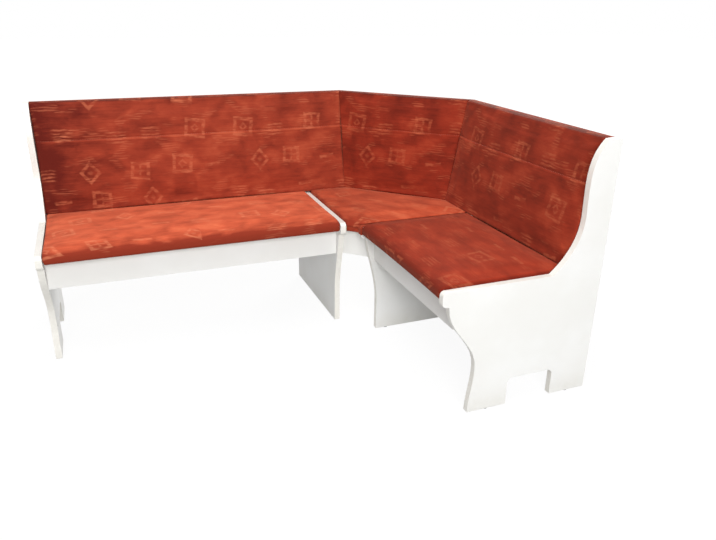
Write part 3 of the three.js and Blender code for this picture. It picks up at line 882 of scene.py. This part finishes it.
@dataclass
class Cushion:
    """A velour cushion: its pad is swollen by a cloth simulation and then sewn."""

    node: str
    wall: Wall
    body: str
    cover: Velour
    is_back: bool
    voxel: float = 0.0065
    start_inset: float = 0.0015
    face_swell: float = 0.0055
    side_swell: float = 0.0018
    pressure: float = 4.0
    frames: int = 20
    fill: float = 0.85
    held_below: float = 0.0
    edge_fill: float = 0.0048
    side_fill: float = 0.0024
    edge_slant: float = 0.68
    edge_spread: float = 0.42
    side_spread: float = 0.5
    foot_drop: float = 0.0062
    foot_push: float = 0.0080
    foot_reach: float = 0.026
    foot_hang: float = 0.0045
    hang_from: float = 0.097
    hang_reach: float = 0.016
    hang_end: float = 0.12
    hang_least: float = 0.2
    roll_reach: float = 0.050
    roll_drop: float = 0.011
    roll_foot: float = 0.430
    lap: float = 0.0
    lap_reach: float = 0.034
    lap_clearance: float = 0.0010
    lap_rise: float = 0.0035
    # From dark_end to shine_reach: painted shade at one end, at a back's top and at a seat's front, and a
    # painted highlight at the other end and below the channel.
    dark_end: float = 0.0
    dark_reach: float = 0.18
    bright_end: float = 0.0
    bright_reach: float = 0.011
    top_shade: float = 0.30
    top_reach: float = 0.05
    front_shade: float = 1.12
    front_reach: float = 0.034
    channel_shine: float = 0.15
    shine_reach: float = 0.0035
    channel_height: float = 0.722
    channel_rows: Tuple[float, ...] = (0.007, 0.0035, 0.001, -0.002, -0.005)
    channel_depth: float = 0.0014
    channel_width: float = 0.006
    channel_rise: float = 0.001
    lip_height: float = 0.0030
    lip_reach: float = 0.005
    lip_fall: float = 0.05
    mesh: Optional[Mesh] = None

    @property
    def out(self) -> np.ndarray:
        """Way that the cushion's face looks."""
        return np.array(self.wall.room if self.is_back else UP)

    def build(self) -> None:
        """Makes the pad, swells it, sews it and dresses it."""
        mesh = self.mesh = Mesh.of_node(self.node)
        normals = mesh.normals()
        mesh.reshape(mesh.points() - normals * self.start_inset)
        mesh.piece.data.remesh_voxel_size = self.voxel
        mesh.take()
        bpy.ops.object.voxel_remesh()
        self.swell()
        self.even_out()
        self.fill_edges()
        if not self.is_back:
            self.roll_front()
        mesh.modify("SUBSURF", levels=1, render_levels=1)
        if self.is_back:
            self.sew_channel()
        mesh.lay_weft(self.cover.weft, self.wall, self.is_back)
        self.brush()
        slot = "back_velour" if self.is_back else "seat_velour"
        mesh.dress(f"{self.node}_upholstered", self.cover, slot, 60)
        mesh.seat(self.body, self.node)

    def swell(self) -> None:
        """Blows the pad up as cloth, with how far a point may move capped by the way it looks."""
        start = self.mesh.points()
        normals = self.mesh.normals()
        held = self.mesh.group("held", (normals @ self.out < -0.5) | (start[:, 2] < self.held_below))
        cloth = self.mesh.piece.modifiers.new("cloth", "CLOTH")
        for name, value in {
            "quality": 4, "mass": 0.3, "tension_stiffness": 12, "compression_stiffness": 12,
            "bending_stiffness": 0.6, "use_pressure": True, "uniform_pressure_force": self.pressure,
            "vertex_group_mass": held.name,
        }.items():
            setattr(cloth.settings, name, value)
        cloth.settings.effector_weights.gravity = 0
        cloth.point_cache.frame_start, cloth.point_cache.frame_end = 1, self.frames
        for number in range(1, self.frames + 1):
            bpy.context.scene.frame_set(number)
        self.mesh.take()
        bpy.ops.object.modifier_apply(modifier=cloth.name)
        bpy.context.scene.frame_set(1)
        self.mesh.piece.vertex_groups.clear()

        swollen = ((self.mesh.points() - start) * normals).sum(axis=1)
        cap = self.side_swell + (self.face_swell - self.side_swell) * clipped(normals @ self.out)
        rise = np.clip(swollen, self.start_inset, cap)
        self.mesh.reshape(start + normals * rise[:, None])
        self.mesh.modify("SMOOTH", factor=0.5, iterations=1)

    def even_out(self) -> None:
        """Smooths the broad face alone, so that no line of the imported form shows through."""
        face = self.mesh.group("face", self.mesh.normals() @ self.out > 0.93)
        self.mesh.modify("SMOOTH", factor=0.5, iterations=30, vertex_group=face.name)
        self.mesh.piece.vertex_groups.clear()

    def fill_edges(self) -> None:
        """Plumps the rolled edges and the sides, where the pads press against their neighbours."""
        normals = self.mesh.normals()
        slant = normals @ self.out
        edge = clipped(1 - np.abs(slant - self.edge_slant) / self.edge_spread)
        side = clipped(1 - np.abs(slant) / self.side_spread)
        if not self.is_back:
            edge = edge * clipped(1 - 2 * (normals @ np.array(self.wall.room)))
        places = self.mesh.points() + normals * (edge * self.edge_fill + side * self.side_fill)[:, None]
        if self.is_back:
            self.lower_foot(places, slant)
        self.mesh.reshape(places)
        self.mesh.modify("SMOOTH", factor=0.4, iterations=1)

    def lower_foot(self, places: np.ndarray, slant: np.ndarray) -> None:
        """Moves a back's foot down onto the seats and out to the room.

        Args:
            places: Places of the points, which are changed.
            slant: How far each point looks the way of the face.
        """
        near = eased(1 - (places[:, 2] - places[:, 2].min()) / self.foot_reach)
        places[:, 2] -= near * self.foot_drop
        places += self.out * (near * clipped(0.5 + slant) * self.foot_push)[:, None]
        if self.wall is not Wall.CORNER:
            before_rail = clipped((LEAN.depth(self.wall, places) - self.hang_from) / self.hang_reach)
            along = places @ np.array(self.wall.along)
            inset = np.minimum(along - along.min(), along.max() - along)
            full = clipped(self.hang_least + inset / self.hang_end)
            places[:, 2] -= near * before_rail * full * self.foot_hang

    def roll_front(self) -> None:
        """Lets a seat's top fall away softly to its front, and lap over the panel beside it."""
        places = self.mesh.points()
        room = places @ np.array(self.wall.room)
        near = clipped(1 - (room.max() - room) / self.roll_reach)
        upper = clipped((places[:, 2] - self.roll_foot) / (places[:, 2].max() - self.roll_foot))
        places[:, 2] -= near ** 2 * upper * self.roll_drop
        if self.lap:
            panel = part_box("short_inner_panel")[1]
            beside = eased(1 - (places[:, 1] - panel.y) / self.lap_reach)
            above = clipped((places[:, 2] - panel.z - self.lap_clearance) / self.lap_rise)
            places[:, 1] -= above * beside * self.lap
        self.mesh.reshape(places)

    def sew_channel(self) -> None:
        """Cuts rows along the sewn channel, presses it in and lets the part below it stand proud."""
        for offset in self.channel_rows:
            level = (0, 0, self.channel_height + offset)
            self.mesh.edit(partial(bpy.ops.mesh.bisect, plane_co=level, plane_no=(0, 0, 1), threshold=0.0003))
        places = self.mesh.points()
        facing = clipped(self.mesh.normals() @ self.out) ** 2
        rise = places[:, 2] - self.channel_height
        groove = np.exp(-(((rise - self.channel_rise) / (self.channel_width / 2)) ** 2))
        step = eased((self.channel_rise - rise) / self.lip_reach)
        lip = step * np.exp(np.minimum(0, rise - self.channel_rise + self.lip_reach) / self.lip_fall)
        push = (lip * self.lip_height - groove * self.channel_depth) * facing
        self.mesh.reshape(places + self.out * push[:, None])

    def brush(self) -> None:
        """Stores painted light and shade: light on a seat's top and on a back, painted shade where the cover
        turns away and hangs down, along a seat's front, at a back's top and at one end, and a painted
        highlight below the channel and at the other end.
        """
        places = self.mesh.points()
        slant = self.mesh.normals() @ self.out
        painted_light = clipped((slant + 0.2) / 0.9 if self.is_back else (slant - 0.1) / 0.85)
        if self.is_back:
            rise = places[:, 2] - self.channel_height
            painted_light += self.channel_shine * np.exp(-((rise / self.shine_reach + 1) ** 2))
            painted_light -= self.top_shade * np.exp((places[:, 2] - places[:, 2].max()) / self.top_reach)
        else:
            room = places @ np.array(self.wall.room)
            painted_light -= self.front_shade * np.exp((room - room.max()) / self.front_reach)
        along = places @ np.array(self.wall.along)
        painted_light -= self.dark_end * np.exp(-(along - along.min()) / self.dark_reach)
        painted_light += self.bright_end * np.exp((along - along.max()) / self.bright_reach)
        self.mesh.brush(painted_light)


@dataclass
class BackTrim:
    """What finishes a back: its cover over the board's top, its turned-down feet, and its stitches."""

    name: str
    cushion: Cushion
    cap_cloth: float = 0.0012
    foot_cloth: float = 0.00096
    # Painted light on the cap over the board's top, and painted shade on the feet turned down behind the
    # seats.
    cap_painted_light: float = 0.8
    foot_painted_light: float = 0.6
    stitch_pitch: float = 0.0085
    stitch_length: float = 0.0056
    stitch_radius: float = 0.0006
    row_inset: float = 0.016
    search_depth: float = 0.06
    staple_pitch: float = 0.062
    staple_place: Tuple[float, float] = (0.8330, 0.0478)
    over_top: Pairs = (
        (0.8606, 0.0290), (0.8615, 0.0330), (0.8619, 0.0380), (0.8617, 0.0430), (0.8608, 0.0460),
        (0.8590, 0.0475), (0.8560, 0.0478), (0.8420, 0.0479), (0.8260, 0.0478),
    )
    board_line: float = 0.4269
    panel_line: float = 0.4434
    pad_bottom: float = 0.4598
    bay_foot: float = 0.4000
    panel_foot: float = 0.4520
    behind: float = 0.0328
    rail_front: float = 0.0959
    panel_run: Tuple[float, float] = (0.6148, 0.6371)
    hair: float = 0.0002

    @property
    def wall(self) -> Wall:
        """The run that the back belongs to."""
        return self.cushion.wall

    def build(self) -> None:
        """Builds the trim of one back, whose cushion is there already."""
        rows = [LEAN.ends(self.wall, height, behind) for height, behind in self.over_top]
        self.strip("cover_cap", rows, self.cap_cloth, self.cap_painted_light)
        self.staples()
        self.stitches()
        self.feet()

    def strip(self, label: str, rows: Sequence[Row], cloth: float, painted_light: float) -> None:
        """Builds a strip of the cover, of one thickness and with one level of painted light and shade."""
        Mesh.strip(f"{self.name}_{label}", rows, self.wall, self.cushion.cover, cloth, painted_light)

    def staples(self) -> None:
        """Builds the row of staples in the cover's rear hem."""
        start, end = LEAN.ends(self.wall, *self.staple_place)
        count = int((end - start).length / self.staple_pitch)
        places = [
            standing(start.lerp(end, (i + 0.5) / count), self.wall.along, UP, self.wall.room)
            for i in range(count)
        ]
        Fastener.staples(f"{self.name}_hem_staples", places, "frame")

    def stitches(self) -> None:
        """Builds the row of stitches in the sewn channel, where the cushion's face is met."""
        ball = bpy.ops.mesh.primitive_uv_sphere_add
        model = Mesh.primitive(ball, segments=6, ring_count=4, radius=self.stitch_radius)
        stretch = self.stitch_length / self.stitch_radius / 2
        model.edit(partial(bpy.ops.transform.resize, value=(stretch, 1, 1)))
        start, end = LEAN.ends(self.wall, self.cushion.channel_height, 0)
        count = int(((end - start).length - self.row_inset) / self.stitch_pitch)
        along, room = self.wall.along, self.wall.room
        places = []
        for i in range(count):
            place = start.lerp(end, (i + 0.5) / count)
            found, hit, _, _ = self.cushion.mesh.piece.ray_cast(place + room * self.search_depth, -room)
            if found:
                places.append(standing(hit, along, room.cross(along), room))
        mesh = model.repeated(places)
        mesh.dress(f"{self.name}_stitches", Thread(), "back_velour", 70)
        mesh.seat("frame")

    def feet(self) -> None:
        """Builds the parts of the cover that are turned down under the pad, behind the seats."""
        if self.wall is Wall.CORNER:
            heights = (self.board_line, self.panel_line, self.pad_bottom)
            rows = [LEAN.ends(self.wall, height, self.behind) for height in heights]
            self.strip("cover_foot", rows, self.foot_cloth, self.foot_painted_light)
            return
        side, end = (-1, LEAN.long_end) if self.wall is Wall.LONG else (1, LEAN.short_end)
        mitre = LEAN.mitre + LEAN.gap - self.behind * math.tan(math.pi / 8)
        first, last = self.panel_run
        for label, runs, lowest, middle in (
            ("cover_foot", (last + self.hair, end - LEAN.gap), self.bay_foot, self.panel_line),
            ("panel_cover_foot", self.panel_run, self.panel_line, self.panel_foot),
            ("corner_cover_foot", (mitre, first - self.hair), self.board_line, self.panel_line),
        ):
            ends = [
                CORNER_FLOOR + self.wall.room * self.rail_front + self.wall.along * run
                for run in sorted(side * run for run in runs)
            ]
            rows = [tuple(end + UP * height for end in ends) for height in (lowest, middle, self.pad_bottom)]
            self.strip(label, rows, self.foot_cloth, self.foot_painted_light)


@dataclass
class LidTrim:
    """Under a lid: the cover's turned-under hem and its staples."""

    arm: str
    hem: float = 0.026
    cloth: float = 0.0002
    hair: float = 0.00003
    staple_gap: float = 0.00005
    pitch: float = 0.058
    margin: float = 0.012

    def build(self) -> None:
        """Builds the hem and its staples."""
        low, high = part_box(f"{self.arm}_seat_board")
        bottom = low.z - self.hair
        mesh = Mesh.plane([(x, y, bottom) for y in (low.y, high.y) for x in (low.x, high.x)])
        frame_in = partial(bpy.ops.mesh.inset, thickness=self.hem, use_even_offset=True)
        mesh.edit(frame_in, partial(bpy.ops.mesh.delete, type="FACE"))
        mesh.modify("SOLIDIFY", thickness=self.cloth, offset=-1)
        mesh.dress(f"{self.arm}_lid_hem", Underside(), "seat_velour", 30)
        mesh.seat(f"{self.arm}_lid")

        inset = self.hem * 0.6
        level = bottom - self.cloth - self.staple_gap
        down = Matrix.Rotation(math.pi, 4, "X")
        places = []
        for axis in (0, 1):
            spin = Matrix.Rotation(math.pi / 2 * axis, 4, "Z")
            first, last = low[axis] + inset * 2, high[axis] - inset * 2
            count = int((last - first) / self.pitch)
            for i in range(count + 1):
                run = first + (last - first) * i / count
                for cross in (low[1 - axis] + inset, high[1 - axis] - inset):
                    x, y = (run, cross) if axis == 0 else (cross, run)
                    if self.is_clear(x, y):
                        places.append(Matrix.Translation((x, y, level)) @ spin @ down)
        Fastener.staples(f"{self.arm}_lid_staples", places, f"{self.arm}_lid")

    def is_clear(self, x: float, y: float) -> bool:
        """Tells whether a staple there misses the apron and the chest's rear board."""
        boxes = [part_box(f"{self.arm}_{board}") for board in ("front_apron", "chest_rear_board")]
        return not any(low.x - self.margin < x < high.x + self.margin
                       and low.y - self.margin < y < high.y + self.margin for low, high in boxes)


class Fastener:
    """Small bought fasteners, each modelled once and copied."""

    staple_size: Triple = (0.0105, 0.0012, 0.0006)
    head_radius: float = 0.0036
    head_height: float = 0.0016
    slot_size: Triple = (0.0038, 0.0007, 0.0030)

    @staticmethod
    def block(size: Sequence[float], *steps: Callable[[], object]) -> Mesh:
        """Models a block about the origin.

        Args:
            size: Its three lengths.
            steps: Operators that edit it further.

        Returns:
            The block.
        """
        mesh = Mesh.primitive(bpy.ops.mesh.primitive_cube_add, size=1)
        mesh.edit(partial(bpy.ops.transform.resize, value=size), *steps)
        return mesh

    @staticmethod
    def set_out(model: Mesh, name: str, places: Sequence[Matrix], body: str, degrees: float) -> None:
        """Copies a fastener to its places.

        Args:
            model: The fastener, which is used up.
            name: Name of the group.
            places: Where each one is, with its Z out of the board.
            body: Body that they move with.
            degrees: Angle under which edges are shaded smooth.
        """
        mesh = model.repeated(places)
        mesh.dress(name, Zinc(), "zinc_steel", degrees)
        mesh.seat(body)

    @staticmethod
    def staples(name: str, places: Sequence[Matrix], body: str) -> None:
        """Builds a row of wire staples, whose crowns lie along each place's X."""
        ease = partial(bpy.ops.mesh.bevel, offset=0.0002, segments=1)
        Fastener.set_out(Fastener.block(Fastener.staple_size, ease), name, places, body, 40)

    @staticmethod
    def screws(name: str, places: Sequence[Matrix]) -> None:
        """Builds domed cross-head screws in the frame.

        Args:
            name: Name of the group.
            places: Where each head is, with its Z out of the board.
        """
        height = Fastener.head_height
        model = Mesh.primitive(
            bpy.ops.mesh.primitive_cylinder_add, vertices=20, radius=Fastener.head_radius, depth=height)
        dome = partial(bpy.ops.mesh.bevel, offset=height / 2, segments=2, affect="EDGES")
        model.edit(dome, choose=lambda place: place.z > 0)
        length, width, depth = Fastener.slot_size
        for size in ((length, width, depth), (width, length, depth)):
            cutter = Fastener.block(size, partial(bpy.ops.transform.translate, value=(0, 0, height)))
            model.modify("BOOLEAN", operation="DIFFERENCE", solver="EXACT", object=cutter.piece)
            bpy.data.objects.remove(cutter.piece)
        Fastener.set_out(model, name, places, "frame", 35)


@dataclass
class Carcass:
    """The white boards: four side panels, aprons, chests and back rails."""

    panels: Tuple[str, ...] = ("left_end_panel", "right_end_panel", "long_inner_panel", "short_inner_panel")
    boards: Tuple[str, ...] = (
        "long_front_apron", "short_front_apron", "corner_front_apron",
        "long_chest_rear_board", "short_chest_rear_board",
        "long_chest_floor", "short_chest_floor", "long_back_rail", "short_back_rail",
    )
    panel_arris: float = 0.0016

    def build(self) -> None:
        """Builds every white board."""
        slot = "white_laminate"
        Board.build_all(self.panels, Laminate(), slot, arris=self.panel_arris, edge_finish=EdgeBand())
        Board.build_all(self.boards, Laminate(), slot)


@dataclass
class Woodwork:
    """The raw boards and battens that carry the upholstery."""

    boards: Tuple[str, ...] = (
        "corner_seat_board", "long_back_board", "short_back_board", "corner_back_board",
    )
    uprights: Tuple[str, ...] = ("long_back_post", "short_back_post", "long_back_cleat", "short_back_cleat")
    long_grain: Triple = (1.0, 0.06, 1.0)
    short_grain: Triple = (0.06, 1.0, 1.0)

    def build(self) -> None:
        """Builds the boards, posts, cleats and battens."""
        Board.build_all(self.boards, ChipBoard(), "pale_board")
        for arm in ("long", "short"):
            Board(f"{arm}_seat_board", ChipBoard(), "pale_board", body=f"{arm}_lid").build()
        Board.build_all(self.uprights, Beech(), "beech")
        for arm, grain in (("long", self.long_grain), ("short", self.short_grain)):
            Board(f"corner_{arm}_batten", Beech(name=f"beech_{arm}_batten", grain=grain), "beech").build()


@dataclass
class Hardware:
    """Glides, pivot bushes, pivot pins and corner brackets."""

    turned_arris: float = 0.0003
    bracket_levels: Tuple[float, float] = (0.525, 0.790)
    bracket_rear: float = 0.0491
    screw_inset: float = 0.022
    screw_rise: float = 0.014
    washer: float = 0.0007
    hair: float = 0.001

    def build(self) -> None:
        """Builds the metal and nylon pieces."""
        for wall in Wall:
            self.bracket_screws(wall)
        arris = {"arris": self.turned_arris}
        glides = [f"{panel}_{place}_glide" for panel in Carcass.panels for place in ("front", "rear")]
        Board.build_all(glides, Nylon(), "grey_nylon", **arris)
        for arm in ("long", "short"):
            for side in ("outer", "inner"):
                Board(f"{arm}_{side}_pivot_bush", Nylon(), "grey_nylon", **arris).build()
                Board(f"{arm}_{side}_pivot_pin", Zinc(), "zinc_steel", f"{arm}_lid", **arris).build()
            brackets = (f"{arm}_lower_bracket", f"{arm}_upper_bracket")
            Board.build_all(brackets, Zinc(), "zinc_steel", **arris)

    def bracket_screws(self, wall: Wall) -> None:
        """Builds the screws that hold the brackets to one back board.

        Args:
            wall: The run that the board belongs to.
        """
        places = []
        for level in self.bracket_levels:
            for height in (level - self.screw_rise, level + self.screw_rise):
                rises = (height - self.hair, height + self.hair)
                low, high = (LEAN.ends(wall, rise, self.bracket_rear) for rise in rises)
                climb = (high[0] + high[1] - low[0] - low[1]).normalized()
                outward = wall.along.cross(climb)
                first, last = (a.lerp(b, 0.5) for a, b in zip(low, high))
                inner, outer = first + wall.along * self.screw_inset, last - wall.along * self.screw_inset
                for spot in {Wall.LONG: (outer,), Wall.SHORT: (inner,), Wall.CORNER: (inner, outer)}[wall]:
                    places.append(standing(spot + outward * self.washer, wall.along, climb, outward))
        Fastener.screws(f"{wall.name.lower()}_bracket_screws", places)


@dataclass
class CornerFront:
    """The corner seat's cover over its board's front edge and over the short inner panel's nose."""

    cover: Velour
    cloth: float = 0.0012
    tuck_cloth: float = 0.0004
    # Painted shade: the front wraps are painted dark, like the shade on a seat's front.
    painted_light: float = 0.1
    half_width: float = 0.0264
    front: Pairs = (
        (0.8290, 0.4102), (0.8350, 0.4104), (0.8374, 0.4120), (0.8384, 0.4160),
        (0.8384, 0.4250), (0.8378, 0.4300),
    )
    nose_radius: float = 0.015
    wrap_radius: float = 0.0172
    wrap_foot: float = 0.4104
    foot_inset: float = 0.0002
    wrap_reach: float = 0.045
    bend_steps: int = 6
    over_room: float = 0.0028
    past_side: float = 0.0004
    tuck_gap: float = 0.0005
    tuck_end: float = 0.007
    tuck_rows: int = 5

    def build(self) -> None:
        """Builds the three parts of the cover."""
        room, along = Wall.CORNER.room, Wall.CORNER.along
        self.wrap("front_wrap", Wall.CORNER, self.cloth, [
            tuple(CORNER_FLOOR + room * out + along * side + UP * height
                  for side in (-self.half_width, self.half_width))
            for out, height in self.front
        ])
        low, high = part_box("short_inner_panel")
        turns = [math.pi - step * math.pi / 2 / self.bend_steps for step in range(self.bend_steps + 1)]
        bend = [
            (low.x + self.nose_radius + self.wrap_radius * math.cos(turn),
             high.z - self.nose_radius + self.wrap_radius * math.sin(turn)) for turn in turns
        ]
        bend.insert(0, (bend[0][0] + self.foot_inset, self.wrap_foot))
        bend.append((bend[-1][0] + self.wrap_reach, bend[-1][1]))
        sides = (high.y + self.over_room, low.y - self.past_side)
        self.wrap("nose_wrap", Wall.SHORT, self.cloth, [
            tuple(Vector((x, side, height)) for side in sides) for x, height in bend
        ])
        self.wrap("nose_tuck", Wall.SHORT, self.tuck_cloth, [
            tuple(Vector((x, low.y - self.tuck_gap, height)) for x in (front, low.x + self.tuck_end))
            for front, height in bend[:self.tuck_rows]
        ])

    def wrap(self, label: str, wall: Wall, cloth: float, rows: Sequence[Row]) -> None:
        """Builds one part, with its rows from the bottom up."""
        Mesh.strip(f"corner_seat_{label}", rows, wall, self.cover, cloth, self.painted_light, is_back=False)


@dataclass
class Upholstery:
    """The three seats and the three backs. Seats and backs have their own colours, and beyond that each cut
    is a copy of the velour painted lighter or darker for the light and shade on it.
    """

    long_seat: Velour = Velour(
        name="long_seat_velour", deep=linear(140, 50, 32), body=linear(213, 94, 62),
        bright=linear(233, 119, 80), motif=linear(240, 148, 108), motif_strength=0.36,
        hatch_strength=0.14, patch_depth=0.30, painted_light_depth=0.8,
    )
    corner_seat: Velour = Velour(
        name="corner_seat_velour", deep=linear(142, 48, 30), body=linear(193, 80, 51),
        bright=linear(219, 104, 69), motif=linear(216, 126, 88), motif_strength=0.36,
        hatch_strength=0.20, patch_depth=0.35,
    )
    short_seat: Velour = Velour(
        name="short_seat_velour", deep=linear(118, 34, 20), body=linear(155, 50, 30),
        bright=linear(180, 68, 42), motif=linear(194, 100, 68), motif_strength=0.38,
        hatch_strength=0.22, patch_depth=0.35,
    )
    long_back: Velour = Velour(
        name="long_back_velour", deep=linear(98, 28, 19), body=linear(153, 58, 38),
        bright=linear(179, 80, 53), motif=linear(200, 108, 76), patch_depth=0.45,
    )
    side_back: Velour = Velour(
        name="side_back_velour", deep=linear(94, 26, 16), body=linear(142, 46, 28),
        bright=linear(169, 66, 42), motif=linear(184, 92, 62), hatch_strength=0.46,
    )
    board_top: float = 0.428
    seat_edge_fill: float = 0.0068

    def build(self) -> None:
        """Builds the cushions and their trim."""
        fill = {"edge_fill": self.seat_edge_fill}
        # A seat's dark_end paints shade towards one of its ends.
        for arm, wall, cover, look in (
            ("long", Wall.LONG, self.long_seat, {"voxel": 0.0078, "dark_end": 0.14, "dark_reach": 0.6}),
            ("short", Wall.SHORT, self.short_seat, {"voxel": 0.0068}),
        ):
            Cushion(f"{arm}_seat_cushion", wall, f"{arm}_lid", cover, False,
                    held_below=self.board_top, **fill, **look).build()
            LidTrim(arm).build()
        Cushion("corner_seat_cushion", Wall.CORNER, "frame", self.corner_seat, False,
                lap=0.021, dark_end=1.0, **fill).build()
        CornerFront(self.corner_seat).build()
        # Besides the voxel size, each back's look paints shade at one end and at the top, and a highlight at
        # the other end and below the channel.
        for wall, cover, look in (
            (Wall.LONG, self.long_back,
             {"voxel": 0.0078, "dark_end": 1.4, "bright_end": 0.9, "channel_shine": 0.55}),
            (Wall.SHORT, self.side_back, {"voxel": 0.0068, "bright_end": 0.3}),
            (Wall.CORNER, self.side_back,
             {"voxel": 0.0068, "bright_end": 0.3, "top_shade": 0.45, "dark_end": 0.12, "dark_reach": 2.0}),
        ):
            name = f"{wall.name.lower()}_back"
            cushion = Cushion(f"{name}_cushion", wall, "frame", cover, True, **look)
            cushion.build()
            BackTrim(name, cushion).build()


@dataclass(frozen=True)
class Viewpoint:
    """The photograph's place and aim, with angles in degrees."""

    place: Triple = (-0.612, -2.1727, 1.238)
    yaw: float = 21.88
    pitch: float = 22.44
    roll: float = 0.83
    lens: float = 33.13

    def build(self) -> None:
        """Adds the camera."""
        yaw, pitch, roll = (math.radians(angle) for angle in (self.yaw, self.pitch, self.roll))
        ahead = Vector((math.sin(yaw) * math.cos(pitch), math.cos(yaw) * math.cos(pitch), -math.sin(pitch)))
        right = Vector((math.cos(yaw), -math.sin(yaw), 0))
        up = right.cross(ahead)
        rolled_right = right * math.cos(roll) + up * math.sin(roll)
        rolled_up = up * math.cos(roll) - right * math.sin(roll)
        camera = bpy.data.cameras.new("view")
        camera.lens = self.lens
        camera.sensor_width = 36
        camera.sensor_fit = "HORIZONTAL"
        camera.clip_end = 60
        holder = bpy.data.objects.new("view", camera)
        bpy.context.scene.collection.objects.link(holder)
        holder.matrix_world = standing(self.place, rolled_right, rolled_up, -ahead)
        bpy.context.scene.camera = holder


@dataclass
class Studio:
    """A plain white floor and soft light, mostly from the front and a little from the right."""

    floor_size: float = 40.0
    dome: float = 0.34
    lamps: Tuple[Tuple[str, Triple, float, float], ...] = (
        ("key", (-0.9, -4.8, 2.5), 2.2, 182.0),
        ("fill", (-0.7, -0.9, 4.0), 2.6, 84.0),
        ("back", (3.0, 3.6, 2.2), 2.6, 125.0),
    )
    aim: Triple = (0.0, 0.1, 0.45)
    floor_colour: Colour = (0.45, 0.45, 0.45)
    floor_glow: float = 0.80
    near_glow: float = 1.15
    far_glow: float = 1.28
    glow_from: float = 1.6
    glow_to: float = 4.5

    def build(self) -> None:
        """Adds the world, the floor and the lamps."""
        self.surround()
        self.floor()
        for lamp in self.lamps:
            self.lamp(*lamp)
        bpy.context.scene.view_settings.view_transform = "Standard"

    @staticmethod
    def seen(tree: bpy.types.NodeTree) -> Field:
        """Tells the rays that see the set from those that light it.

        Args:
            tree: The node tree that asks.

        Returns:
            1 for rays that the camera, a reflection or glass sends, else 0.
        """
        path = add_node(tree, "LightPath", {})
        kinds = ("Camera", "Glossy", "Transmission")
        camera, glossy, through = (Field(tree, path.outputs[f"Is {kind} Ray"]) for kind in kinds)
        return (camera + glossy + through).clamped()

    def surround(self) -> None:
        """Lights all round at a plain level, and shows as white."""
        world = bpy.data.worlds.new("studio")
        bpy.context.scene.world = world
        world.use_nodes = True
        tree = world.node_tree
        back = tree.nodes["Background"]
        back.inputs["Color"].default_value = (1, 1, 1, 1)
        strength = self.seen(tree) * (1.0 - self.dome) + self.dome
        tree.links.new(strength.socket, back.inputs["Strength"])

    def floor(self) -> None:
        """Adds the floor, which shows as white and keeps the bench's shadow."""
        bpy.ops.mesh.primitive_plane_add(size=self.floor_size, location=(0, 0, 0))
        plane = bpy.context.active_object
        plane.name = "floor"
        material = bpy.data.materials.new("floor_white")
        material.use_nodes = True
        tree = material.node_tree
        tree.nodes.clear()
        place = Field(tree, add_node(tree, "TexCoord", {}).outputs["Object"])
        distance = place.node("Value", "VectorMath", {0: place}, operation="LENGTH")
        near = distance.fade(self.glow_from, self.glow_to)
        strength = near * (self.near_glow - self.far_glow) + self.far_glow
        matt = place.node(0, "BsdfDiffuse", {"Color": (*self.floor_colour, 1)})
        glow = place.node(0, "Emission", {"Strength": strength})
        blend = place.node(0, "MixShader", {0: self.seen(tree) * self.floor_glow, 1: matt, 2: glow})
        add_node(tree, "OutputMaterial", {"Surface": blend})
        plane.data.materials.append(material)

    def lamp(self, name: str, place: Sequence[float], size: float, power: float) -> None:
        """Adds a square area lamp that looks at the bench.

        Args:
            name: Name of the lamp.
            place: Where it hangs.
            size: Length of its side in metres.
            power: Its power in watts.
        """
        light = bpy.data.lights.new(name, "AREA")
        light.shape = "SQUARE"
        light.size = size
        light.energy = power
        holder = bpy.data.objects.new(name, light)
        bpy.context.scene.collection.objects.link(holder)
        holder.location = place
        holder.rotation_euler = (Vector(self.aim) - Vector(place)).to_track_quat("-Z", "Y").to_euler()


def main() -> None:
    """Builds the camera, the bench and the studio, in that order."""
    logging.basicConfig(level=logging.INFO, format="%(message)s")
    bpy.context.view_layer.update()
    Viewpoint().build()
    for part in (Carcass(), Woodwork(), Hardware(), Upholstery(), Studio()):
        LOG.info("building %s", type(part).__name__)
        part.build()


if __name__ == "__main__":
    main()
